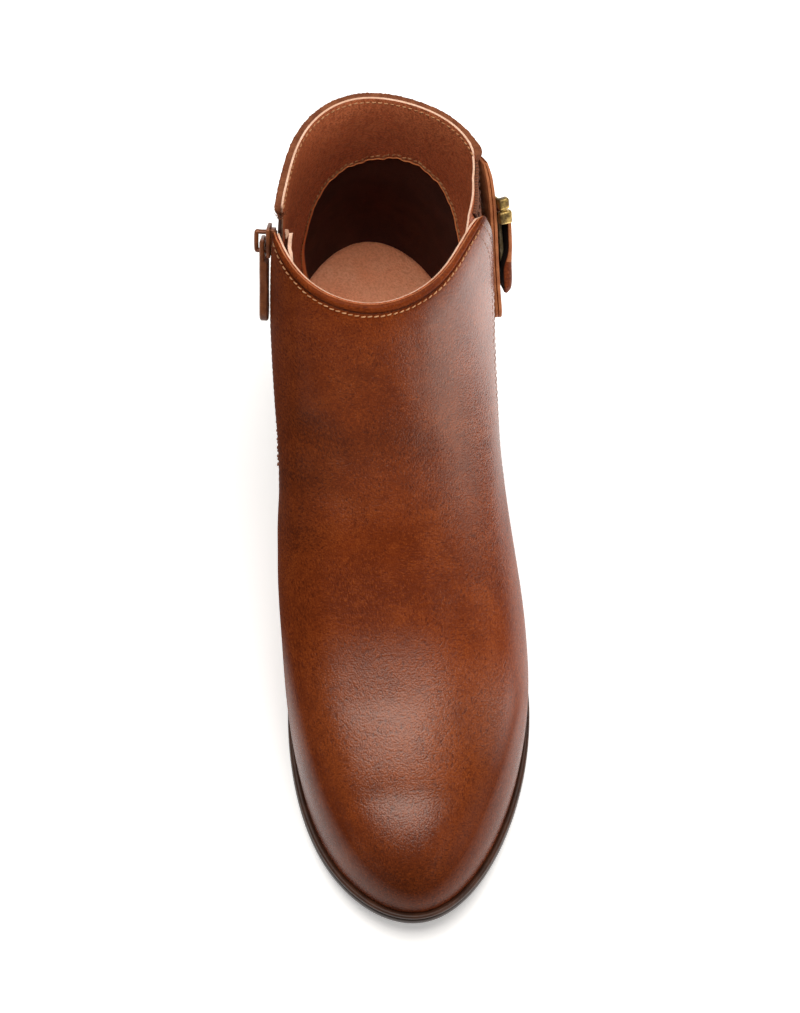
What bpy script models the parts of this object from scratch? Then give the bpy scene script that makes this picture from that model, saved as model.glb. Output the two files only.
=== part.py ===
# Flat ankle boot for the left foot: a lasted leather upper on a thin sole with a low heel, with an
# elastic gore, a strap and a brass buckle on the outer side and a zip on the inner side.
# Frame: +X outer side, +Y heel, +Z up, origin under the middle of the boot on the floor.
# Shapes are worked out in millimetres on the last: x outwards from the last's centre line,
# y back from the toe tip, z up from the floor.

from collections import namedtuple
from itertools import product

import bmesh
import bpy
import numpy as np
from mathutils import Vector
from mathutils.bvhtree import BVHTree

MM = 0.001

# Driving sizes of the last
LENGTH = 267.0
BALL_WIDTH = 86.0
SHAFT_BACK = 146.0
SHAFT_FRONT = 129.0

# Sole profile: floor to the underside of the outsole
TOE_SPRING = 8.0
TREAD_FRONT = 58.0
TREAD_BACK = 112.0
BREAST = 203.0
BREAST_RISE = 22.5
HEEL_PITCH = 0.04

# Layers
GAP = 0.3
OUTSOLE = 3.4
WELT = 2.0
SOLE = OUTSOLE + WELT + 2 * GAP
INSOLE = 3.2
INSOLE_CLEAR = 0.7
WALL = 2.2
LAP = 0.8
MARGIN = 2.1
OUTSOLE_ROUND = (0.6, 0.5)
WELT_ROUND = (0.4, 0.4)
INSOLE_ROUND = (0.2, 1.4)
END_TRIM = 0.15

# Heel block: how far it is drawn in at its top and at the floor, and its hollowed breast
HEEL_DRAW_TOP = 0.8
HEEL_DRAW_FOOT = 2.4
HEEL_HOLLOW = 4.0
HEEL_LEAST = 0.4

# Place of the last in the frame
CENTRE_X = 1.84
CENTRE_Y = 133.38

# Rings of the last from the feather edge up to the collar. Each lies on a plane from its back point to
# its front point. y and x columns and half widths: percent of LENGTH (y) or BALL_WIDTH (the others).
# rise columns: percent of the way up from the seat to the collar, at the back and at the front.
Ring = namedtuple(
    "Ring",
    "level back_y back_rise front_y front_rise back_x front_x"
    " heel_out heel_in waist_out waist_in ball_out ball_in toe",
)
RINGS = [
    Ring(0.00, 98.9, 0.0, 0.9, 0.0, 0.5, 0.0, 34.5, 34.5, 38.5, 33.0, 52.0, 43.5, 32.5),
    Ring(0.08, 99.8, 7.8, 1.5, 5.2, 0.0, 0.0, 35.5, 35.5, 42.0, 37.0, 54.0, 46.0, 32.5),
    Ring(0.18, 100.0, 17.4, 3.0, 12.2, 0.0, -0.5, 35.5, 36.0, 43.0, 39.0, 54.0, 47.0, 31.5),
    Ring(0.30, 99.3, 27.8, 6.9, 19.6, -0.5, -1.0, 35.5, 36.0, 44.0, 40.0, 53.0, 47.0, 30.0),
    Ring(0.42, 98.1, 38.7, 15.7, 27.4, -0.5, -2.5, 35.5, 35.0, 45.0, 40.5, 50.5, 46.0, 28.5),
    Ring(0.55, 96.8, 50.9, 28.1, 36.5, -1.0, -3.0, 35.0, 33.5, 45.5, 40.5, 47.5, 43.0, 27.0),
    Ring(0.68, 95.9, 63.5, 41.2, 49.1, -1.0, -3.5, 35.0, 32.0, 46.0, 40.5, 45.5, 42.0, 25.5),
    Ring(0.80, 95.3, 76.1, 52.4, 65.7, -1.5, -4.0, 33.5, 29.0, 47.0, 40.0, 43.5, 41.0, 24.5),
    Ring(0.90, 95.1, 87.8, 60.3, 82.6, -2.0, -4.5, 32.0, 26.0, 47.5, 38.0, 42.0, 39.5, 24.0),
    Ring(1.00, 95.3, 100.0, 67.0, 100.0, -2.5, -4.5, 31.0, 23.5, 46.5, 35.5, 40.0, 38.0, 23.5),
]
# Where a ring's named widths stand between its back (0) and its front (1), and their spacing round it
HEEL_AT, WAIST_AT, BALL_AT, TOE_AT = 0.11, 0.40, 0.66, 0.91
SPACING = [0.30, 0.40, 0.37, 0.37, 0.29]

# Rear edges of the front panel, on each side: height and y
SeamPoint = namedtuple("SeamPoint", "z y")
OUTER_SEAM = [
    SeamPoint(10.0, 128.0),
    SeamPoint(78.0, 169.0),
    SeamPoint(101.0, 197.0),
    SeamPoint(118.0, 209.0),
    SeamPoint(137.0, 210.0),
]
INNER_SEAM = [
    SeamPoint(10.0, 126.0),
    SeamPoint(78.0, 166.0),
    SeamPoint(101.0, 194.0),
    SeamPoint(118.0, 206.0),
    SeamPoint(137.0, 207.5),
]
# Lift of the front panel off the skin along these edges, and how far round and down it fades
OUTER_LIFT = 1.7
INNER_LIFT = 0.9
LIFT_AROUND = 0.045
LIFT_LEVELS = (0.55, 0.78)
SEAM_EDGE = 0.25

# Gaps left round the gore and the zip tape: to the edges beside them and to the foot of the cut-out
EDGE_CLEAR = 0.45
FOOT_CLEAR = 0.005

# Elastic gore in its notch: straight rear edge, rounded forward at its foot
GORE_REAR = 231.0
GORE_ROUND = 12.0
GORE_ROUND_FROM = 104.0
GORE_FOOT_LEVEL = 0.62
GORE_TOP_LEVEL = 0.975
GORE_SINK = 0.7
GORE_THICK = 1.2

# Zip in its slot
ZIP_SLOT = 7.0
ZIP_FOOT_LEVEL = 0.47
ZIP_TOP_LEVEL = 0.985
TAPE_SINK = 1.2
TAPE_THICK = 0.8
CHAIN_EDGE = 1.4
CHAIN_LOW = -0.85
CHAIN_HIGH = 0.8
CHAIN_TOP_LEVEL = 0.95

# Slider and its pull, in the slider's own axes: across, along the zip, off the leather.
# The pull's eye is thin where it turns in the bail; its body below is thicker, towards the leather.
SLIDER_LEVEL = 0.91
SLIDER_LEAN_LEVEL = 0.72
SLIDER_PLATE = (8.0, 11.0, 1.5)
SLIDER_LIFT = CHAIN_HIGH + 1.6 * GAP
BAIL = (2.2, 8.0, 4.3)
BAIL_HOLE = (4.0, 2.9)
PULL_BAR = 1.7
PULL_EYE = (3.4, 4.8)
PULL_NECK = 7.2
PULL_BODY = 2.9
PULL_LENGTH = 29.5
PULL_WIDTH = 7.0

# Strap across the gore, down and forward from the corner of the back panel, beside the seam.
# Along it: distance from that corner. Across it: up from its middle. Off: height over its seat.
STRAP_CORNER = (232.0, 140.0)
STRAP_SLOPE = np.radians(51.0)
STRAP_RUN = (-3.0, 63.0)
STRAP_HALF = 9.0
STRAP_THICK = 2.6
STRAP_ROUND = 6.0
STRAP_TURN = 1.35
STRAP_LEAN = 2.0
SIDE_AROUND = (0.02, 0.48)
SIDE_LEVELS = (0.45, 1.06)

# Height of the strap's seat over the skin, along it: sewn down at its corner, free at its end
RunPoint = namedtuple("RunPoint", "along off")
STRAP_SEAT = [RunPoint(-4.0, -0.4), RunPoint(14.0, 0.1), RunPoint(36.0, 0.6), RunPoint(62.0, 2.3)]

# Folded strap end: the run of the middle of its leather, from its outer end round the buckle's bar
FOLD = [
    RunPoint(53.0, 4.2),
    RunPoint(50.0, 5.8),
    RunPoint(45.0, 7.0),
    RunPoint(37.0, 7.4),
    RunPoint(29.0, 7.2),
    RunPoint(25.2, 6.75),
    RunPoint(22.9, 5.15),
    RunPoint(25.2, 3.65),
    RunPoint(29.0, 3.6),
    RunPoint(37.0, 3.6),
    RunPoint(45.5, 3.6),
]
FOLD_HALF = 8.6
FOLD_THICK = 1.4

# Buckle: two rails beyond the strap's edges, a thick rear bar and a thin front bar between them
BUCKLE_RUN = (18.0, 26.8)
BUCKLE_REAR_BAR = 20.8
BUCKLE_FRONT_BAR = 25.3
BUCKLE_INNER = 9.4
BUCKLE_OUTER = 12.0
BUCKLE_OFF = (2.9, 6.8)
BUCKLE_BAR_OFF = (4.65, 5.6)
BUCKLE_GROOVE = (21.8, 22.6)
BUCKLE_GROOVE_DEPTH = 0.9
PRONG = [RunPoint(27.2, 5.2), RunPoint(36.0, 5.2), RunPoint(44.5, 5.0)]
PRONG_RADIUS = 0.6

# Mesh density
LEVEL_COUNT = 22
BACK_COLUMNS = 18
GORE_COLUMNS = 6
FRONT_COLUMNS = 32
ZIP_COLUMNS = 2
SOLE_STATIONS = 34
HEEL_STATIONS = 13
GORE_LEVELS = 9
ZIP_LEVELS = 12
STRAP_STEPS = 14
SAMPLES = 400
FOLD_STEPS = 48

# Finishes: base colour, roughness, metallic
FINISHES = {
    "leather": ((0.21, 0.055, 0.018), 0.42, 0.0),
    "lining": ((0.17, 0.062, 0.030), 0.60, 0.0),
    "sole": ((0.030, 0.014, 0.009), 0.55, 0.0),
    "welt": ((0.085, 0.030, 0.015), 0.50, 0.0),
    "elastic": ((0.055, 0.020, 0.010), 0.85, 0.0),
    "zip": ((0.16, 0.050, 0.020), 0.40, 0.6),
    "brass": ((0.36, 0.24, 0.09), 0.35, 1.0),
}


def cubic(knots, values, at, closed=False):
    """Smooth curve through a table of values, natural at its ends or closed on itself."""
    knots, values, at = np.asarray(knots), np.asarray(values), np.asarray(at)
    count = len(knots)
    step = np.diff(knots)
    slope = np.diff(values, axis=0) / step[:, None]
    system = np.eye(count)
    right = np.zeros_like(values, dtype=float)
    for i in range(1, count - 1):
        system[i, i - 1 : i + 2] = step[i - 1], 2 * (step[i - 1] + step[i]), step[i]
        right[i] = 6 * (slope[i] - slope[i - 1])
    if closed:
        system[0, -1] = -1
        system[-1, [1, 0, -2]] = step[0], 2 * (step[0] + step[-1]), step[-1]
        system[-1, -1] = 0
        right[-1] = 6 * (slope[0] - slope[-1])
    bend = np.linalg.solve(system, right)
    i = np.clip(np.searchsorted(knots, at) - 1, 0, count - 2)
    width = step[i][:, None]
    past = (at - knots[i])[:, None]
    ahead = (knots[i + 1] - at)[:, None]
    curve = (bend[i] * ahead**3 + bend[i + 1] * past**3) / (6 * width)
    curve += (values[i] / width - bend[i] * width / 6) * ahead
    return curve + (values[i + 1] / width - bend[i + 1] * width / 6) * past


def underside(y):
    """Height of the outsole's underside: toe spring, flat tread, arch and heel seat."""
    spring = TOE_SPRING * (np.clip(TREAD_FRONT - y, 0, None) / TREAD_FRONT) ** 2
    arch = BREAST - TREAD_BACK
    s = np.clip((y - TREAD_BACK) / arch, 0, 1)
    rise = BREAST_RISE * s**2 * (3 - 2 * s) + HEEL_PITCH * arch * (s**3 - s**2)
    return spring + rise + HEEL_PITCH * np.clip(y - BREAST, 0, None)


def seat(y):
    return underside(y) + SOLE


def ring(level, around):
    """Points of the last's skin on one level. around: 0 at the back, growing by the outer side."""
    table = np.array(RINGS)
    r = Ring(level, *cubic(table[:, 0], table[:, 1:], [level])[0])
    outline = [
        (0, 0),
        (r.heel_out, HEEL_AT),
        (r.waist_out, WAIST_AT),
        (r.ball_out, BALL_AT),
        (r.toe, TOE_AT),
        (0, 1),
        (-r.toe, TOE_AT),
        (-r.ball_in, BALL_AT),
        (-r.waist_in, WAIST_AT),
        (-r.heel_in, HEEL_AT),
        (0, 0),
    ]
    knots = np.cumsum([0, *SPACING, *SPACING[::-1]]) / (2 * sum(SPACING))
    flat = cubic(knots, np.array(outline, float), np.asarray(around) % 1.0, closed=True)
    along = flat[:, 1]
    x = BALL_WIDTH / 100 * (flat[:, 0] + r.back_x + (r.front_x - r.back_x) * along)
    y = LENGTH / 100 * (r.back_y + (r.front_y - r.back_y) * along)
    ends = LENGTH / 100 * np.array([RINGS[0].front_y, RINGS[0].back_y])
    toe_seat, heel_seat = seat(ends)
    back_z = heel_seat + (SHAFT_BACK - heel_seat) * r.back_rise / 100
    front_z = toe_seat + (SHAFT_FRONT - toe_seat) * r.front_rise / 100
    chord = toe_seat + (heel_seat - toe_seat) * (y - ends[0]) / (ends[1] - ends[0])
    dip = (seat(y) - chord) * (1 - level) ** 2
    return np.column_stack([x, y, back_z + (front_z - back_z) * along + dip])


def skin(level, around, off=0.0):
    """Points off the skin by a height along its outward normal. off: one value or one per point."""
    around = np.asarray(around)
    nudge = 1e-3
    points = ring(level, around)
    across = ring(level, around + nudge) - ring(level, around - nudge)
    up = ring(level + nudge, around) - ring(level - nudge, around)
    normal = np.cross(up, across)
    if level == 0:
        normal[:, 2] = 0
    normal /= np.linalg.norm(normal, axis=1)[:, None]
    return points + normal * np.broadcast_to(off, len(points))[:, None]


def line_of(table):
    """Line on the side of the upper: y as a smooth function of height."""
    points = np.array(table, float)
    return lambda z: cubic(points[:, 0], points[:, 1:], z)[:, 0]


outer_seam = line_of(OUTER_SEAM)
inner_seam = line_of(INNER_SEAM)


def gore_y(z):
    return GORE_REAR - GORE_ROUND * (np.clip(GORE_ROUND_FROM - z, 0, GORE_ROUND) / GORE_ROUND) ** 2


def around_at(level, line, outer):
    """Where a line y(z) crosses a level, on the outer or the inner side."""
    around = np.linspace(0.0 if outer else 1.0, 0.5, SAMPLES)
    points = ring(level, around)
    return np.interp(0, line(points[:, 2]) - points[:, 1], around)


def shifted(line, by):
    return lambda z: line(z) + by


def columns_of(level):
    """Columns round one level of the upper, lined up with the seam, the notch and the slot."""
    zip_back = around_at(level, shifted(inner_seam, ZIP_SLOT), False)
    marks = [
        ("back", zip_back - 1, BACK_COLUMNS),
        ("gore", around_at(level, gore_y, True), GORE_COLUMNS),
        ("gore_edge", around_at(level, shifted(outer_seam, SEAM_EDGE), True), 1),
        ("front", around_at(level, outer_seam, True), FRONT_COLUMNS),
        ("zip_edge", around_at(level, inner_seam, False), 1),
        ("zip", around_at(level, shifted(inner_seam, SEAM_EDGE), False), ZIP_COLUMNS),
    ]
    names, around = [], []
    for (name, start, count), (_, end, _) in zip(marks, marks[1:] + [("", zip_back, 0)]):
        names += [name] * count
        around += list(np.linspace(start, end, count, endpoint=False))
    return names, np.array(around)


def to_frame(points):
    return (np.asarray(points, float) - (CENTRE_X, CENTRE_Y, 0.0)) * MM


def make(name, points, faces, finish, pivot=None):
    """One named mesh object from points on the last, with loose points dropped and faces out."""
    origin = np.zeros(3) if pivot is None else to_frame(pivot)
    mesh = bpy.data.meshes.new(name)
    mesh.from_pydata([tuple(p) for p in to_frame(points) - origin], [], faces)
    work = bmesh.new()
    work.from_mesh(mesh)
    bmesh.ops.delete(work, geom=[v for v in work.verts if not v.link_faces], context="VERTS")
    bmesh.ops.recalc_face_normals(work, faces=work.faces)
    work.to_mesh(mesh)
    work.free()
    mesh.shade_smooth()
    mesh.set_sharp_from_angle(angle=0.6)
    thing = add(name, mesh, finish)
    thing.location = origin
    return thing


def add(name, data, finish):
    thing = bpy.data.objects.new(name, data)
    bpy.context.collection.objects.link(thing)
    data.materials.append(material(name, finish))
    return thing


def material(name, finish):
    colour, roughness, metallic = FINISHES[finish]
    made = bpy.data.materials.new(name)
    made.use_nodes = True
    shader = made.node_tree.nodes["Principled BSDF"]
    shader.inputs["Base Color"].default_value = (*colour, 1.0)
    shader.inputs["Roughness"].default_value = roughness
    shader.inputs["Metallic"].default_value = metallic
    return made


def shell(name, outer, inner, keep, finish, wraps=False):
    """Closed solid between two grids of points, over the cells that keep marks."""
    rows, columns = outer.shape[:2]
    cells = columns if wraps else columns - 1

    def at(side, i, j):
        return (side * rows + i) * columns + j % columns

    def kept(i, j):
        if wraps:
            j %= cells
        return 0 <= i < rows - 1 and 0 <= j < cells and keep[i][j]

    faces = []
    for i in range(rows - 1):
        for j in range(cells):
            if not keep[i][j]:
                continue
            corners = [(i, j), (i, j + 1), (i + 1, j + 1), (i + 1, j)]
            faces.append([at(0, *c) for c in corners])
            faces.append([at(1, *c) for c in corners[::-1]])
            beside = [(i - 1, j), (i, j + 1), (i + 1, j), (i, j - 1)]
            for k, cell in enumerate(beside):
                if not kept(*cell):
                    a, b = corners[k], corners[(k + 1) % 4]
                    faces.append([at(0, *b), at(0, *a), at(1, *a), at(1, *b)])
    points = np.concatenate([outer.reshape(-1, 3), inner.reshape(-1, 3)])
    return make(name, points, faces, finish)


def whole(grid):
    return np.ones((grid.shape[0] - 1, grid.shape[1] - 1), bool)


def front_lift(level, names, around):
    """Lift of the front panel along its rear edges at one level."""
    rows = np.array([name in ("front", "zip_edge") for name in names])
    start, end = around[rows][[0, -1]]
    fade = np.interp(level, LIFT_LEVELS, (0, 1))
    lift = OUTER_LIFT * np.exp(-(((around - start) / LIFT_AROUND) ** 2))
    lift += INNER_LIFT * np.exp(-(((around - end) / LIFT_AROUND) ** 2))
    return np.where(rows, lift * fade, 0)


def upper():
    levels = np.unique([*np.linspace(0, 1, LEVEL_COUNT), GORE_FOOT_LEVEL, ZIP_FOOT_LEVEL])
    outer, inner, keep = [], [], []
    for level in levels:
        names, around = columns_of(level)
        lift = front_lift(level, names, around)
        lapped = [0.0 if name in ("front", "zip_edge") else -LAP for name in names]
        outer.append(skin(level, around, lapped + lift))
        inner.append(skin(level, around, lift - WALL))
        in_notch = [name.startswith("gore") and level >= GORE_FOOT_LEVEL for name in names]
        in_slot = [name.startswith("zip") and level >= ZIP_FOOT_LEVEL for name in names]
        keep.append(~(np.array(in_notch) | np.array(in_slot)))
    return shell("upper", np.array(outer), np.array(inner), keep, "leather", wraps=True)


def strip(name, lines, outer_side, levels, low, high, across, finish):
    """Band of the upper's own skin between two lines and two heights off it."""
    low_grid, high_grid = [], []
    for level in levels:
        ends = [around_at(level, line, outer_side) for line in lines]
        around = np.linspace(*ends, across + 1)
        low_grid.append(skin(level, around, low))
        high_grid.append(skin(level, around, high))
    high_grid = np.array(high_grid)
    return shell(name, high_grid, np.array(low_grid), whole(high_grid), finish)


def gore():
    lines = [shifted(gore_y, -EDGE_CLEAR), shifted(outer_seam, SEAM_EDGE + EDGE_CLEAR)]
    levels = np.linspace(GORE_FOOT_LEVEL + FOOT_CLEAR, GORE_TOP_LEVEL, GORE_LEVELS)
    low = -GORE_SINK - GORE_THICK
    return strip("gore", lines, True, levels, low, -GORE_SINK, GORE_COLUMNS, "elastic")


def zip_tape():
    lines = [shifted(inner_seam, ZIP_SLOT - EDGE_CLEAR), shifted(inner_seam, SEAM_EDGE + EDGE_CLEAR)]
    levels = np.linspace(ZIP_FOOT_LEVEL + FOOT_CLEAR, ZIP_TOP_LEVEL, ZIP_LEVELS)
    low = -TAPE_SINK - TAPE_THICK
    return strip("zip_tape", lines, False, levels, low, -TAPE_SINK, 2, "elastic")


def zip_chain():
    lines = [shifted(inner_seam, ZIP_SLOT - CHAIN_EDGE), shifted(inner_seam, CHAIN_EDGE)]
    levels = np.linspace(ZIP_FOOT_LEVEL + 2 * FOOT_CLEAR, CHAIN_TOP_LEVEL, ZIP_LEVELS)
    return strip("zip_chain", lines, False, levels, CHAIN_LOW, CHAIN_HIGH, 2, "zip")


def slider_axes():
    """Origin on the zip's middle and the axes across, along and off, for the slider."""

    line = shifted(inner_seam, ZIP_SLOT / 2)

    def middle(level, off=0.0):
        return skin(level, [around_at(level, line, False)], off)[0]

    origin = middle(SLIDER_LEVEL)
    off = Vector(middle(SLIDER_LEVEL, 1.0) - origin)
    along = Vector(origin - middle(SLIDER_LEAN_LEVEL)).normalized()
    across = along.cross(off).normalized()
    return Vector(origin), across, along, across.cross(along)


def block(name, low, high, place, finish):
    """Box between two corners in its own axes, placed on the last by a function of a corner."""
    corners = product(*zip(low, high))
    faces = [(0, 1, 3, 2), (4, 6, 7, 5), (0, 4, 5, 1), (2, 3, 7, 6), (0, 2, 6, 4), (1, 5, 7, 3)]
    return make(name, [place(*c) for c in corners], faces, finish)


def join(thing, helper, operation):
    """Boolean of a hidden helper on an object."""
    helper.hide_render = True
    helper.display_type = "WIRE"
    step = thing.modifiers.new(helper.name, "BOOLEAN")
    step.operation = operation
    step.object = helper


def on_slider():
    origin, across, along, off = slider_axes()
    return lambda a, b, c: origin + across * a + along * b + off * c


def pull_pivot():
    """Height of the pull's bar off the leather, in the slider's axes."""
    return SLIDER_LIFT + SLIDER_PLATE[2] + BAIL_HOLE[1] / 2


def zip_slider():
    place = on_slider()
    wide, long, thick = SLIDER_PLATE
    top = SLIDER_LIFT + thick
    plate = block(
        "zip_slider", (-wide / 2, -long / 2, SLIDER_LIFT), (wide / 2, long / 2, top), place, "zip"
    )
    bail_low = (-BAIL[0] / 2, -BAIL[1] / 2, SLIDER_LIFT + thick / 2)
    bail_high = (BAIL[0] / 2, BAIL[1] / 2, top + BAIL[2])
    join(plate, block("slider_bail", bail_low, bail_high, place, "zip"), "UNION")
    hole_low = (-BAIL[0], -BAIL_HOLE[0] / 2, top)
    hole_high = (BAIL[0], BAIL_HOLE[0] / 2, top + BAIL_HOLE[1])
    join(plate, block("slider_hole", hole_low, hole_high, place, "zip"), "DIFFERENCE")
    return plate


def zip_pull():
    """Tab with an eye: the bar above the eye turns in the slider's bail."""
    place = on_slider()
    pivot = pull_pivot()
    half = PULL_WIDTH / 2
    front = PULL_BAR / 2
    tip = [
        (half * np.cos(turn), -PULL_LENGTH + half * (1 - np.sin(turn)))
        for turn in np.linspace(np.pi, 0, 9)
    ]
    outline = [(half, front), (-half, front), (-half, -PULL_NECK)] + tip + [(half, -PULL_NECK)]
    backs = [front - (PULL_BODY if b < -PULL_NECK else PULL_BAR) for _, b in outline]
    count = len(outline)
    points = [place(a, b, pivot + front) for a, b in outline]
    points += [place(a, b, pivot + back) for (a, b), back in zip(outline, backs)]
    neck = [count + i for i in (0, 1, 2, count - 1)]
    faces = [list(range(count)), list(range(count + 2, 2 * count)), neck]
    faces += [(i, (i + 1) % count, count + (i + 1) % count, count + i) for i in range(count)]
    pull = make("zip_pull", points, faces, "zip", place(0, 0, pivot))
    eye_low = (-PULL_EYE[0] / 2, -front - PULL_EYE[1], pivot - PULL_BAR)
    eye_high = (PULL_EYE[0] / 2, -front, pivot + PULL_BAR)
    join(pull, block("pull_eye", eye_low, eye_high, place, "zip"), "DIFFERENCE")
    return pull


def side_tree():
    """The outer side of the skin, to lay the strap on."""
    around = np.linspace(*SIDE_AROUND, 70)
    levels = np.linspace(*SIDE_LEVELS, 50)
    points = np.array([ring(level, around) for level in levels])
    rows, columns = points.shape[:2]
    faces = [
        [i * columns + j, i * columns + j + 1, (i + 1) * columns + j + 1, (i + 1) * columns + j]
        for i in range(rows - 1)
        for j in range(columns - 1)
    ]
    return BVHTree.FromPolygons([tuple(p) for p in points.reshape(-1, 3)], faces)


def on_strap():
    """Place of a point given along the strap, across it and off its seat: flat across, curved along."""
    tree = side_tree()
    forward, down = np.cos(STRAP_SLOPE), np.sin(STRAP_SLOPE)
    seat_run = np.array(STRAP_SEAT)
    corner_y, corner_z = STRAP_CORNER

    def hit(along, across):
        y = corner_y - along * forward - (across - STRAP_HALF) * down
        z = corner_z - along * down + (across - STRAP_HALF) * forward
        return tree.ray_cast(Vector((BALL_WIDTH, y, z)), Vector((-1, 0, 0)))[0]

    def place(along, across, off):
        ahead = hit(along + STRAP_LEAN, 0) - hit(along - STRAP_LEAN, 0)
        up = (hit(along, STRAP_LEAN) - hit(along, -STRAP_LEAN)).normalized()
        out = up.cross(ahead).normalized()
        base = cubic(seat_run[:, 0], seat_run[:, 1:], [along])[0, 0]
        return hit(along, 0) + up * across + out * (base + off)

    return place


def strap():
    place = on_strap()
    start, end = STRAP_RUN
    turn = np.linspace(0, STRAP_TURN, 6)
    straight = np.linspace(start, end - STRAP_ROUND, STRAP_STEPS, endpoint=False)
    along = [*straight, *(end - STRAP_ROUND * (1 - np.sin(turn)))]
    half = [STRAP_HALF] * STRAP_STEPS + list(STRAP_HALF - STRAP_ROUND * (1 - np.cos(turn)))
    sides = []
    for off in (STRAP_THICK, 0.0):
        rows = [[place(a, h * side, off) for side in (-1, 0, 1)] for a, h in zip(along, half)]
        sides.append(np.array(rows))
    return shell("strap", *sides, whole(sides[0]), "leather")


def strap_end():
    """Leather folded round the buckle's front bar, both ends forward."""
    place = on_strap()
    run = np.array(FOLD)
    length = np.concatenate([[0], np.cumsum(np.linalg.norm(np.diff(run, axis=0), axis=1))])
    at = np.linspace(0, length[-1], FOLD_STEPS)
    middle = cubic(length, run, at)
    ahead = cubic(length, run, at + 0.05) - cubic(length, run, at - 0.05)
    side = np.column_stack([-ahead[:, 1], ahead[:, 0]])
    side *= FOLD_THICK / 2 / np.linalg.norm(side, axis=1)[:, None]
    across = (-FOLD_HALF, 0, FOLD_HALF)
    sides = [
        np.array([[place(along, a, off) for a in across] for along, off in middle + sign * side])
        for sign in (1, -1)
    ]
    return shell("strap_end", *sides, whole(sides[0]), "leather")


def buckle():
    place = on_strap()
    rear, front = BUCKLE_RUN
    low, high = BUCKLE_OFF
    bar_low, bar_high = BUCKLE_BAR_OFF
    reach = (BUCKLE_INNER + BUCKLE_OUTER) / 2
    frame = block("buckle", (rear, BUCKLE_INNER, low), (front, BUCKLE_OUTER, high), place, "brass")
    helpers = {
        "lower_rail": ((rear, -BUCKLE_OUTER, low), (front, -BUCKLE_INNER, high)),
        "rear_bar": ((rear + GAP, -reach, bar_low), (BUCKLE_REAR_BAR, reach, high - GAP)),
        "front_bar": ((BUCKLE_FRONT_BAR, -reach, bar_low), (front - GAP, reach, bar_high)),
    }
    for name, corners in helpers.items():
        join(frame, block(name, *corners, place, "brass"), "UNION")
    groove_low = (BUCKLE_GROOVE[0], BUCKLE_OUTER - BUCKLE_GROOVE_DEPTH, low - 1)
    groove_high = (BUCKLE_GROOVE[1], BUCKLE_OUTER + 1, high + 1)
    join(frame, block("rail_groove", groove_low, groove_high, place, "brass"), "DIFFERENCE")
    return frame


def buckle_prong():
    place = on_strap()
    run = bpy.data.curves.new("buckle_prong", "CURVE")
    run.dimensions = "3D"
    run.bevel_depth = PRONG_RADIUS * MM
    run.bevel_resolution = 2
    run.use_fill_caps = True
    spline = run.splines.new("POLY")
    spline.points.add(len(PRONG) - 1)
    for point, (along, off) in zip(spline.points, PRONG):
        point.co = (*to_frame(place(along, 0.0, off)), 1.0)
    return add("buckle_prong", run, "brass")


def sole_outline(margin):
    """Outer and inner edge of the sole as functions of y, a margin outside the feather edge."""
    around = np.linspace(0, 1, SAMPLES, endpoint=False)
    points = skin(0.0, around, margin)
    toe, heel = points[:, 1].argmin(), points[:, 1].argmax()
    turned = np.roll(points, -heel, axis=0)
    split = (toe - heel) % len(points)
    outer, inner = turned[: split + 1], turned[split:]

    def edges(y):
        return np.interp(y, outer[::-1, 1], outer[::-1, 0]), np.interp(y, inner[:, 1], inner[:, 0])

    return edges, (points[toe, 1], points[heel, 1])


def plate(name, margin, low, high, rounds, finish):
    """Layer of the sole between two heights over its underside, with its rims rounded."""
    edges, (toe, heel) = sole_outline(margin)
    turn = np.linspace(0, np.pi, SOLE_STATIONS)
    spread = toe + (heel - toe) * (1 - np.cos(turn)) / 2
    spread[0], spread[-1] = toe + END_TRIM, heel - END_TRIM
    ys = np.unique([*spread, TREAD_FRONT, TREAD_BACK, BREAST])
    round_low, round_high = rounds
    rim = [(round_low, low), (0, low + round_low), (0, high - round_high), (round_high, high)]
    points = []
    for y in ys:
        outer, inner = edges(y)
        base = float(underside(y))
        most = (outer - inner) * 0.45
        for inset, z in rim:
            points.append((outer - min(inset, most), y, base + z))
        for inset, z in rim[::-1]:
            points.append((inner + min(inset, most), y, base + z))
    size = 2 * len(rim)
    faces = [list(range(size)), list(range((len(ys) - 1) * size, len(ys) * size))]
    for i in range(len(ys) - 1):
        for j in range(size):
            k = (j + 1) % size
            faces.append([i * size + j, i * size + k, (i + 1) * size + k, (i + 1) * size + j])
    return make(name, points, faces, finish)


def outsole():
    return plate("outsole", MARGIN, 0.0, OUTSOLE, OUTSOLE_ROUND, "sole")


def welt():
    low = OUTSOLE + GAP
    return plate("welt", MARGIN, low, low + WELT, WELT_ROUND, "welt")


def insole():
    return plate("insole", -WALL - INSOLE_CLEAR, SOLE, SOLE + INSOLE, INSOLE_ROUND, "lining")


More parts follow.
